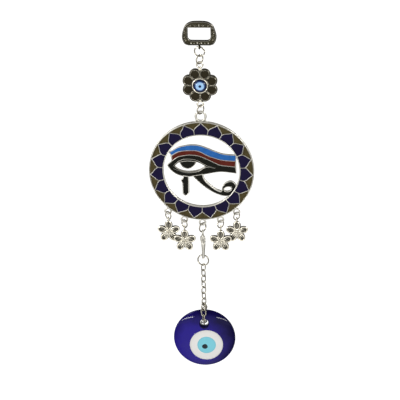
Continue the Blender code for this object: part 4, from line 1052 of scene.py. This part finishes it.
class ORNAMENT_OT_charms(bpy.types.Operator):
    """Builds the flower charms with rimmed petals, veins, centre and loop"""

    bl_idname = "ornament.charms"
    bl_label = "Flower charms"

    def execute(self, context):
        ground = finish_named("charm_ground", plated, metal("silver", 0.10), metal("tarnish", 0.5),
                              0.32, 0.8)
        rims = finish_named("charm_relief", plated, metal("silver"), metal("tarnish", 1.2), 0.26, 0.4)
        for number, level in CHARM_LEVELS.items():
            self.charm(number, level, ground, rims)
        return {"FINISHED"}

    def charm(self, number, level, ground, rims):
        name = f"flower_charm_{number}"
        radius, wire = CHARM_LOOP
        x, loop_z = middle(name).x, top_of(name).z - radius - wire * 0.866
        z = loop_z - radius - CHARM_ORBIT - CHARM_PETAL[0] + 0.2
        front, back = level - CHARM_HALF, level + CHARM_HALF
        bm = bmesh.new()
        outline = []
        for k in range(130):
            turn = 2 * math.pi * k / 130
            reach = charm_reach(((turn + math.pi / 5) % (2 * math.pi / 5)) - math.pi / 5)
            outline.append((x + reach * math.sin(turn), z + reach * math.cos(turn)))
        slab(bm, outline, [], front + 0.5, back, 0.35)
        for k in range(5):
            turn = 2 * math.pi * k / 5
            a, b = CHARM_PETAL[0] - 0.46, CHARM_PETAL[1] - 0.46
            rim = [petal_point(x, z, turn, CHARM_ORBIT + a * u, b * v * (0.86 + 0.14 * u))
                   for u, v in circle(0, 0, 1, 36)]
            ridge(bm, rim, front + 0.36, 0.44, 0.4, True, slot=1)
            for aside, start, end in ((-0.55, 1.3, 5.2), (0.55, 1.3, 5.2)):
                vein = smooth([(start, aside * 0.25), ((start + end) / 2, aside * 0.85), (end, aside)], 4)
                ridge(bm, [petal_point(x, z, turn, u, v) for u, v in vein], front + 0.5, 0.3, 0.4,
                      slot=1, pointed=True)
        for side in (-1, 1):
            arm = smooth([(0.0, 6.6), (side * 1.2, 5.7), (side * 2.0, 4.5)], 4)
            ridge(bm, moved(arm, x, z), front + 0.3, 0.3, 0.32, slot=1, pointed=True)
        boss = [(0, front + 0.9), (1.15, front + 0.9), (1.2, front + 0.2), (1.05, front - 0.08),
                (0.8, front - 0.14), (0.66, front + 0.04), (0.52, front - 0.1), (0.3, front - 0.3),
                (0, front - 0.36)]
        lathe(bm, boss, x, z, 28, 1)
        hoop(bm, (x, 0, loop_z), radius, wire, (0, 1, 0), 32, 12, 1)
        piece(bm, f"charm_casting_{number}", name, [name], [ground, rims])


# ---- clasp ------------------------------------------------------------------------------------

CLASP_YAW = math.radians(100)
CLASP_LENGTH = 16.2
CLAW_HALF = 2.3
PIVOT = (1.0, -4.6)


class ORNAMENT_OT_clasp(bpy.types.Operator):
    """Builds the lobster clasp: claw and cheeks, lever, rivet and spring"""

    bl_idname = "ornament.clasp"
    bl_label = "Lobster clasp"

    def execute(self, context):
        self.clasp_z = top_of("clasp_body").z - 1.45 - 0.45 * 0.866
        self.claw()
        self.lever()
        self.rivet()
        self.spring()
        return {"FINISHED"}

    def turned_piece(self, bm, name, body, nodes, skins, slot):
        """Turns a piece drawn in the clasp's own plane to where the clasp hangs."""
        turn = Matrix.Translation((0, 0, self.clasp_z)) @ Matrix.Rotation(CLASP_YAW, 4, "Z")
        bmesh.ops.transform(bm, matrix=turn, verts=bm.verts)
        return piece(bm, name, body, nodes, skins)

    def claw(self):
        low, h = -CLASP_LENGTH, CLAW_HALF
        route = [(0.0, -1.6, 0.75, 0.75), (0.0, -3.0, 0.9, 1.05), (-0.95, -4.3, 0.55, 1.35),
                 (-h, -6.2, 1.05, 1.3), (-h - 0.25, -8.2, 0.95, 1.22), (-h, -10.0, 0.85, 1.05),
                 (-h * 0.6, low + 0.5, 0.74, 0.8), (0.0, low, 0.74, 0.76), (h * 0.6, low + 0.45, 0.7, 0.72),
                 (h, low + 1.6, 0.58, 0.6), (h + 0.1, low + 2.3, 0.5, 0.55)]
        points = smooth(route, 6)
        bm = bmesh.new()
        sweep(bm, [(u, 0, v) for u, v, _, _ in points], [a for _, _, a, _ in points],
              [b for _, _, _, b in points], (0, 1, 0), False, 20)
        hoop(bm, (0, 0, 0), 1.45, 0.45, (1, 0, 0), 36, 12)
        head = [(-0.9, -2.9), (0.9, -2.9), (2.0, -3.6), (2.2, -5.0), (1.4, -5.8), (-0.4, -5.9),
                (-2.2, -5.4)]
        for front, back in ((-1.5, -0.68), (0.68, 1.5)):
            slab(bm, smooth(head + head[:1], 4)[:-1], [], front, back, 0.28)
        web = [(-0.95, -2.8), (0.95, -2.8), (1.4, -3.3), (-0.7, -3.55), (-0.75, -5.9), (-2.0, -5.5)]
        slab(bm, web, [], -1.35, 1.35, 0.2)
        self.turned_piece(bm, "clasp_claw", "clasp", ["clasp_body"], [silver()], "antique_silver")

    def lever(self):
        low, h = -CLASP_LENGTH, CLAW_HALF
        root = [(PIVOT[0] + 0.85 * math.cos(math.radians(a)), PIVOT[1] + 0.85 * math.sin(math.radians(a)))
                for a in (230, 200, 170, 140, 110, 80)]
        tip = low + 2.3 + 0.55 + 0.2
        outer = smooth([root[-1], (2.0, -3.75), (2.6, -3.6), (3.15, -3.9), (2.9, -4.6), (2.7, -5.6),
                        (h + 0.6, -7.4), (h + 0.62, -10.0), (h + 0.5, tip)], 4)
        inner = smooth([(h - 0.25, tip), (h - 0.2, -10.0), (h - 0.35, -7.6), (1.7, -6.0), (0.9, -5.5)], 4)
        bm = bmesh.new()
        slab(bm, root[:-1] + outer + inner, [], -0.55, 0.55, 0.22)
        self.turned_piece(bm, "clasp_gate", "clasp_lever", ["clasp_lever"], [wire_silver()],
                          "antique_silver")

    def rivet(self):
        bm = bmesh.new()
        half = [(0, -1.7), (0.22, -1.68), (0.42, -1.6), (0.52, -1.5), (0.42, -1.44)]
        lathe(bm, half + [(r, -y) for r, y in reversed(half)], *PIVOT, 24)
        self.turned_piece(bm, "clasp_pin", "clasp", ["clasp_rivet"], [wire_silver()], "antique_silver")

    def spring(self):
        bm = bmesh.new()
        leaf = smooth([(-0.35, 0, -4.15), (-0.15, 0, -4.0), (0.35, 0, -3.75), (1.0, 0, -3.62)], 4)
        sweep(bm, leaf, 0.08, 0.3, (0, 1, 0), False, 8)
        steel = finish_named("spring_leaf", drawn, (0.5, 0.5, 0.5), 0.3)
        self.turned_piece(bm, "clasp_leaf", "clasp", ["clasp_spring"], [steel], "spring_steel")


# ---- bead -------------------------------------------------------------------------------------

BEAD = {"half_width": 18.6, "half_height": 18.2, "half_thickness": 3.6}
BEAD_HOLE = {"radius": 2.3, "drop": 8.2}
BEAD_EYES = (  # piece, node, slot, radius, right and up of the bead's centre, stand-off, waviness
    ("white_disc", "bead_white", "white_glass", 9.89, 1.2, -3.9, 0.10, 0.010),
    ("light_blue_disc", "bead_light_blue", "light_blue_glass", 5.64, 1.3, -3.7, 0.17, 0.012),
    ("pupil_disc", "bead_pupil", "black_glass", 1.69, 0.3, -4.6, 0.26, 0.03),
)


def bead_depth(x, z, centre):
    """How far in front of the bead's middle its glass reaches."""
    rho = math.hypot(x / BEAD["half_width"], (z - centre) / BEAD["half_height"])
    return BEAD["half_thickness"] * max(0.0, 1 - rho * rho) ** 0.7


class ORNAMENT_OT_bead(bpy.types.Operator):
    """Builds the glass eye bead: drilled cobalt body and the discs on its front"""

    bl_idname = "ornament.bead"
    bl_label = "Glass bead"

    def execute(self, context):
        colors = context.scene.ornament_enamel
        centre = top_of("bead_glass").z - BEAD["half_height"]
        blue, rim = tuple(colors.cobalt), tuple(colors.cobalt_shaded_edge)
        # The ramp paints light and shade on the cobalt: full colour in a lit zone left of and below the
        # middle, darkening outwards to painted shade at the edge, deepest at the upper right.
        cobalt = finish_named("cobalt_body", glass_eye, (-5.0, centre - 4.0), 25.0,
                              [(0.0, blue), (0.42, blue), (0.60, shade(blue, 0.62)),
                               (0.72, shade(rim, 0.9)),
                               (0.84, shade(rim, 0.45)), (1.0, shade(rim, 0.3))], 0.05, 0.16, 0.07)
        self.body(centre, cobalt)
        tones = {"white_disc": colors.white, "light_blue_disc": colors.light_blue,
                 "pupil_disc": colors.pupil}
        for name, node_name, slot, radius, right, up, lift, wavy in BEAD_EYES:
            tone = tuple(tones[name])
            finish = finish_named(f"{name}_glass", glass_eye, (right, centre + up), radius,
                                  [(0.0, tone), (0.86, shade(tone, 0.97)), (1.0, shade(tone, 0.86))],
                                  0.09, 0.25)
            self.disc(name, node_name, slot, centre, radius, right, up, lift, wavy, finish)
        return {"FINISHED"}

    def body(self, centre, finish):
        sides = 112
        shares = [math.sin(math.pi / 2 * k / 22) for k in range(23)]
        bm = bmesh.new()
        rings = []
        for sign, order in ((-1, shares), (1, shares[-2::-1])):
            for share in order:
                if share == 0:
                    rings.append([bm.verts.new((0, sign * BEAD["half_thickness"], centre))] * sides)
                    continue
                y = sign * BEAD["half_thickness"] * max(0.0, 1 - share * share) ** 0.7
                rings.append([bm.verts.new((share * BEAD["half_width"] * u, y,
                                            centre + share * BEAD["half_height"] * v))
                              for u, v in circle(0, 0, 1, sides)])
        for a, b in zip(rings, rings[1:]):
            for k in range(sides):
                j = (k + 1) % sides
                bm.faces.new(list(dict.fromkeys((a[k], a[j], b[j], b[k]))))
        # Near-black on the walls of the drilled hole: painted shade inside the hole.
        hole = finish_named("hole_glass", enamelled, (0.004, 0.003, 0.03), (0.008, 0.005, 0.06), 0.1, 0.2)
        made = piece(bm, "bead_body", "bead", ["bead_glass"], [finish, hole], 60.0)
        self.drill(made, centre + BEAD["half_height"] - BEAD_HOLE["drop"])

    def drill(self, made, hole_z):
        """Cuts the flared hole that the chain passes through."""
        r = BEAD_HOLE["radius"]
        profile = [(0, -6), (r + 2.7, -6), (r + 0.9, -3.2), (r + 0.25, -2.0), (r, -1.2), (r, 1.2),
                   (r + 0.25, 2.0), (r + 0.9, 3.2), (r + 2.7, 6), (0, 6)]
        bm = bmesh.new()
        lathe(bm, profile, 0, hole_z, 40, 1)
        bmesh.ops.recalc_face_normals(bm, faces=bm.faces)
        bmesh.ops.scale(bm, vec=(MM, MM, MM), verts=bm.verts)
        mesh = bpy.data.meshes.new("drill")
        bm.to_mesh(mesh)
        bm.free()
        # The cutter's faces use the second finish, so the cut walls of the hole take the painted shade.
        for finish in made.data.materials:
            mesh.materials.append(finish)
        cutter = bpy.data.objects.new("drill", mesh)
        bpy.context.scene.collection.objects.link(cutter)
        cut = made.modifiers.new("hole", "BOOLEAN")
        cut.operation = "DIFFERENCE"
        cut.object = cutter
        graph = bpy.context.evaluated_depsgraph_get()
        drilled = bpy.data.meshes.new_from_object(made.evaluated_get(graph))
        made.modifiers.clear()
        made.data = drilled
        bpy.data.objects.remove(cutter)
        if len(drilled.polygons) < len(mesh.polygons):
            raise RuntimeError("the bead lost its glass when its hole was cut")
        drilled.shade_smooth()
        drilled.set_sharp_from_angle(angle=math.radians(50))

    def disc(self, name, node_name, slot, centre, radius, right, up, lift, wavy, finish):
        sides = 72
        bm = bmesh.new()
        turns = [2 * math.pi * k / sides for k in range(sides)]

        def loop(share, stand):
            points = []
            for t in turns:
                wave = 1 + wavy * (math.sin(2 * t + 1.0) + 0.6 * math.sin(3 * t + 2.2 + radius))
                out = radius * share * wave
                x, z = right + out * math.cos(t), centre + up + out * math.sin(t)
                points.append((x, -bead_depth(x, z, centre) - stand, z))
            return points

        rings = [loop(1.0, -0.5)] + [loop(share, lift * high) for high, share in
                                     ((0.0, 1.0), (0.35, 0.992), (0.7, 0.975), (0.92, 0.94), (1.0, 0.86),
                                      (1.0, 0.6), (1.0, 0.3), (1.0, 0.04))]
        skin(bm, rings, False)
        piece(bm, name, "bead", [node_name], [finish])


# ---- stage ------------------------------------------------------------------------------------

FLOOR_RADIUS, FLOOR_LEVEL = 30.0, -0.5
LAMP_TARGET = Vector((0, 0, -0.12))
# Name, place and size in metres, and power in watts. The strips are seen as arcs in the bead's glass.
LAMPS = (
    ("left_softbox", (-0.42, -0.42, 0.26), (0.30, 0.30), 1.0),
    ("right_softbox", (0.50, -0.30, 0.18), (0.22, 0.22), 0.6),
    ("left_strip", (-0.36, -0.54, -0.07), (0.34, 0.03), 1.1),
    ("right_strip", (0.40, -0.76, -0.02), (0.40, 0.035), 1.3),
    ("left_rim_light", (-0.45, 0.14, 0.20), (0.16, 0.16), 1.6),
    ("right_rim_light", (0.42, 0.16, 0.22), (0.14, 0.14), 1.4),
)
# Floor glow at each share of a turn, from -X by way of the front: dim at the sides.
FLOOR_GLOW = ((0.10, 0.10), (0.17, 0.82), (0.31, 0.82), (0.38, 0.10), (0.60, 0.10), (0.66, 1.0),
              (0.84, 1.0), (0.90, 0.10))


class ORNAMENT_OT_stage(bpy.types.Operator):
    """Sets the floor, lit in front and behind and dark at the sides, the lamps and the camera"""

    bl_idname = "ornament.stage"
    bl_label = "Floor, light and camera"

    def execute(self, context):
        self.floor()
        self.sky(context.scene)
        for name, place, size, power in LAMPS:
            self.lamp(name, Vector(place), size, power)
        self.camera(context)
        context.scene.view_settings.view_transform = "Standard"
        return {"FINISHED"}

    def floor(self):
        bm = bmesh.new()
        bmesh.ops.create_circle(bm, cap_ends=True, segments=64, radius=FLOOR_RADIUS)
        mesh = bpy.data.meshes.new("floor")
        bm.to_mesh(mesh)
        bm.free()
        pale, shader = new_finish("pale_floor", 0.9, Specular_IOR_Level=0.1,
                                  Emission_Color=(1.0, 1.0, 1.0, 1.0))
        wire_up(pale, (blend(pale, noise(pale, 3.0), (0.36, 0.36, 0.36), (0.38, 0.38, 0.38)),
                       shader.inputs["Base Color"]))
        place = node(pale, "ShaderNodeTexCoord")
        around = node(pale, "ShaderNodeTexGradient", gradient_type="RADIAL")
        glow = node(pale, "ShaderNodeValToRGB")
        band = glow.color_ramp
        for k, (position, light) in enumerate(FLOOR_GLOW):
            stop = band.elements[k] if k < 2 else band.elements.new(position)
            stop.position, stop.color = position, (light, light, light, 1.0)
        wire_up(pale, (place.outputs["Object"], around.inputs["Vector"]),
                (around.outputs["Fac"], glow.inputs["Fac"]),
                (glow.outputs["Color"], shader.inputs["Emission Strength"]))
        mesh.materials.append(pale)
        made = bpy.data.objects.new("floor", mesh)
        made.location.z = FLOOR_LEVEL
        bpy.context.scene.collection.objects.link(made)

    def sky(self, scene):
        """White towards the horizon and below it, dimmer overhead, so that round metal shows its form."""
        world = bpy.data.worlds.new("studio")
        scene.world = world
        world.use_nodes = True
        tree = world.node_tree
        place = tree.nodes.new("ShaderNodeTexCoord")
        parts = tree.nodes.new("ShaderNodeSeparateXYZ")
        ramp = tree.nodes.new("ShaderNodeValToRGB")
        band = ramp.color_ramp
        band.elements[0].position, band.elements[0].color = 0.10, (1.0, 1.0, 1.0, 1.0)
        band.elements[1].position, band.elements[1].color = 0.30, (0.16, 0.155, 0.14, 1.0)
        band.elements.new(0.75).color = (0.10, 0.10, 0.09, 1.0)
        band.elements.new(0.95).color = (0.75, 0.75, 0.75, 1.0)
        tree.links.new(place.outputs["Generated"], parts.inputs[0])
        tree.links.new(parts.outputs["Z"], ramp.inputs["Fac"])
        tree.links.new(ramp.outputs["Color"], tree.nodes["Background"].inputs["Color"])
        tree.nodes["Background"].inputs["Strength"].default_value = 1.0

    def lamp(self, name, place, size, power):
        data = bpy.data.lights.new(name, "AREA")
        data.shape = "RECTANGLE"
        (data.size, data.size_y), data.energy = size, power
        made = bpy.data.objects.new(name, data)
        made.location = place
        aim = LAMP_TARGET - place
        made.rotation_euler = aim.to_track_quat("-Z", "Y").to_euler()
        bpy.context.scene.collection.objects.link(made)

    def camera(self, context):
        view = context.scene.ornament_view
        data = bpy.data.cameras.new("camera")
        data.lens = data.sensor_width * view.distance / view.width
        made = bpy.data.objects.new("camera", data)
        a, e = view.azimuth, view.elevation
        back = Vector((math.sin(a) * math.cos(e), -math.cos(a) * math.cos(e), math.sin(e)))
        made.location = Vector((view.across, 0, -view.down)) + back * view.distance
        made.rotation_mode = "QUATERNION"
        lean = Quaternion(back, view.lean)
        made.rotation_quaternion = lean @ (-back).to_track_quat("-Z", "Y")
        context.scene.collection.objects.link(made)
        context.scene.camera = made


# ---- add-on -----------------------------------------------------------------------------------

STEPS = (ORNAMENT_OT_hanger, ORNAMENT_OT_rings, ORNAMENT_OT_rosette, ORNAMENT_OT_rosette_eye,
         ORNAMENT_OT_amulet, ORNAMENT_OT_enamels, ORNAMENT_OT_charms, ORNAMENT_OT_clasp,
         ORNAMENT_OT_chain, ORNAMENT_OT_bead, ORNAMENT_OT_stage)
SETTINGS = {"ornament_metal": OrnamentMetal, "ornament_enamel": OrnamentEnamel,
            "ornament_wires": OrnamentWires, "ornament_view": OrnamentView}


class ORNAMENT_PT_panel(bpy.types.Panel):
    """Lists the settings and the steps, in the order in which they are run"""

    bl_idname = "ORNAMENT_PT_panel"
    bl_label = "Evil Eye Ornament"
    bl_space_type = "VIEW_3D"
    bl_region_type = "UI"
    bl_category = "Ornament"

    def draw(self, context):
        column = self.layout.column()
        for key, group in SETTINGS.items():
            settings = getattr(context.scene, key)
            box = column.box()
            box.label(text=group.__name__.replace("Ornament", ""))
            for name in group.__annotations__:
                box.prop(settings, name)
        for step in STEPS:
            column.operator(step.bl_idname)


def register():
    for group in SETTINGS.values():
        bpy.utils.register_class(group)
    for step in (*STEPS, ORNAMENT_PT_panel):
        bpy.utils.register_class(step)
    for key, group in SETTINGS.items():
        setattr(bpy.types.Scene, key, PointerProperty(type=group))


def unregister():
    for key in SETTINGS:
        delattr(bpy.types.Scene, key)
    for group in (ORNAMENT_PT_panel, *reversed(STEPS), *SETTINGS.values()):
        bpy.utils.unregister_class(group)


def main():
    register()
    for step in STEPS:
        group, name = step.bl_idname.split(".")
        getattr(getattr(bpy.ops, group), name)()


if __name__ == "__main__":
    main()
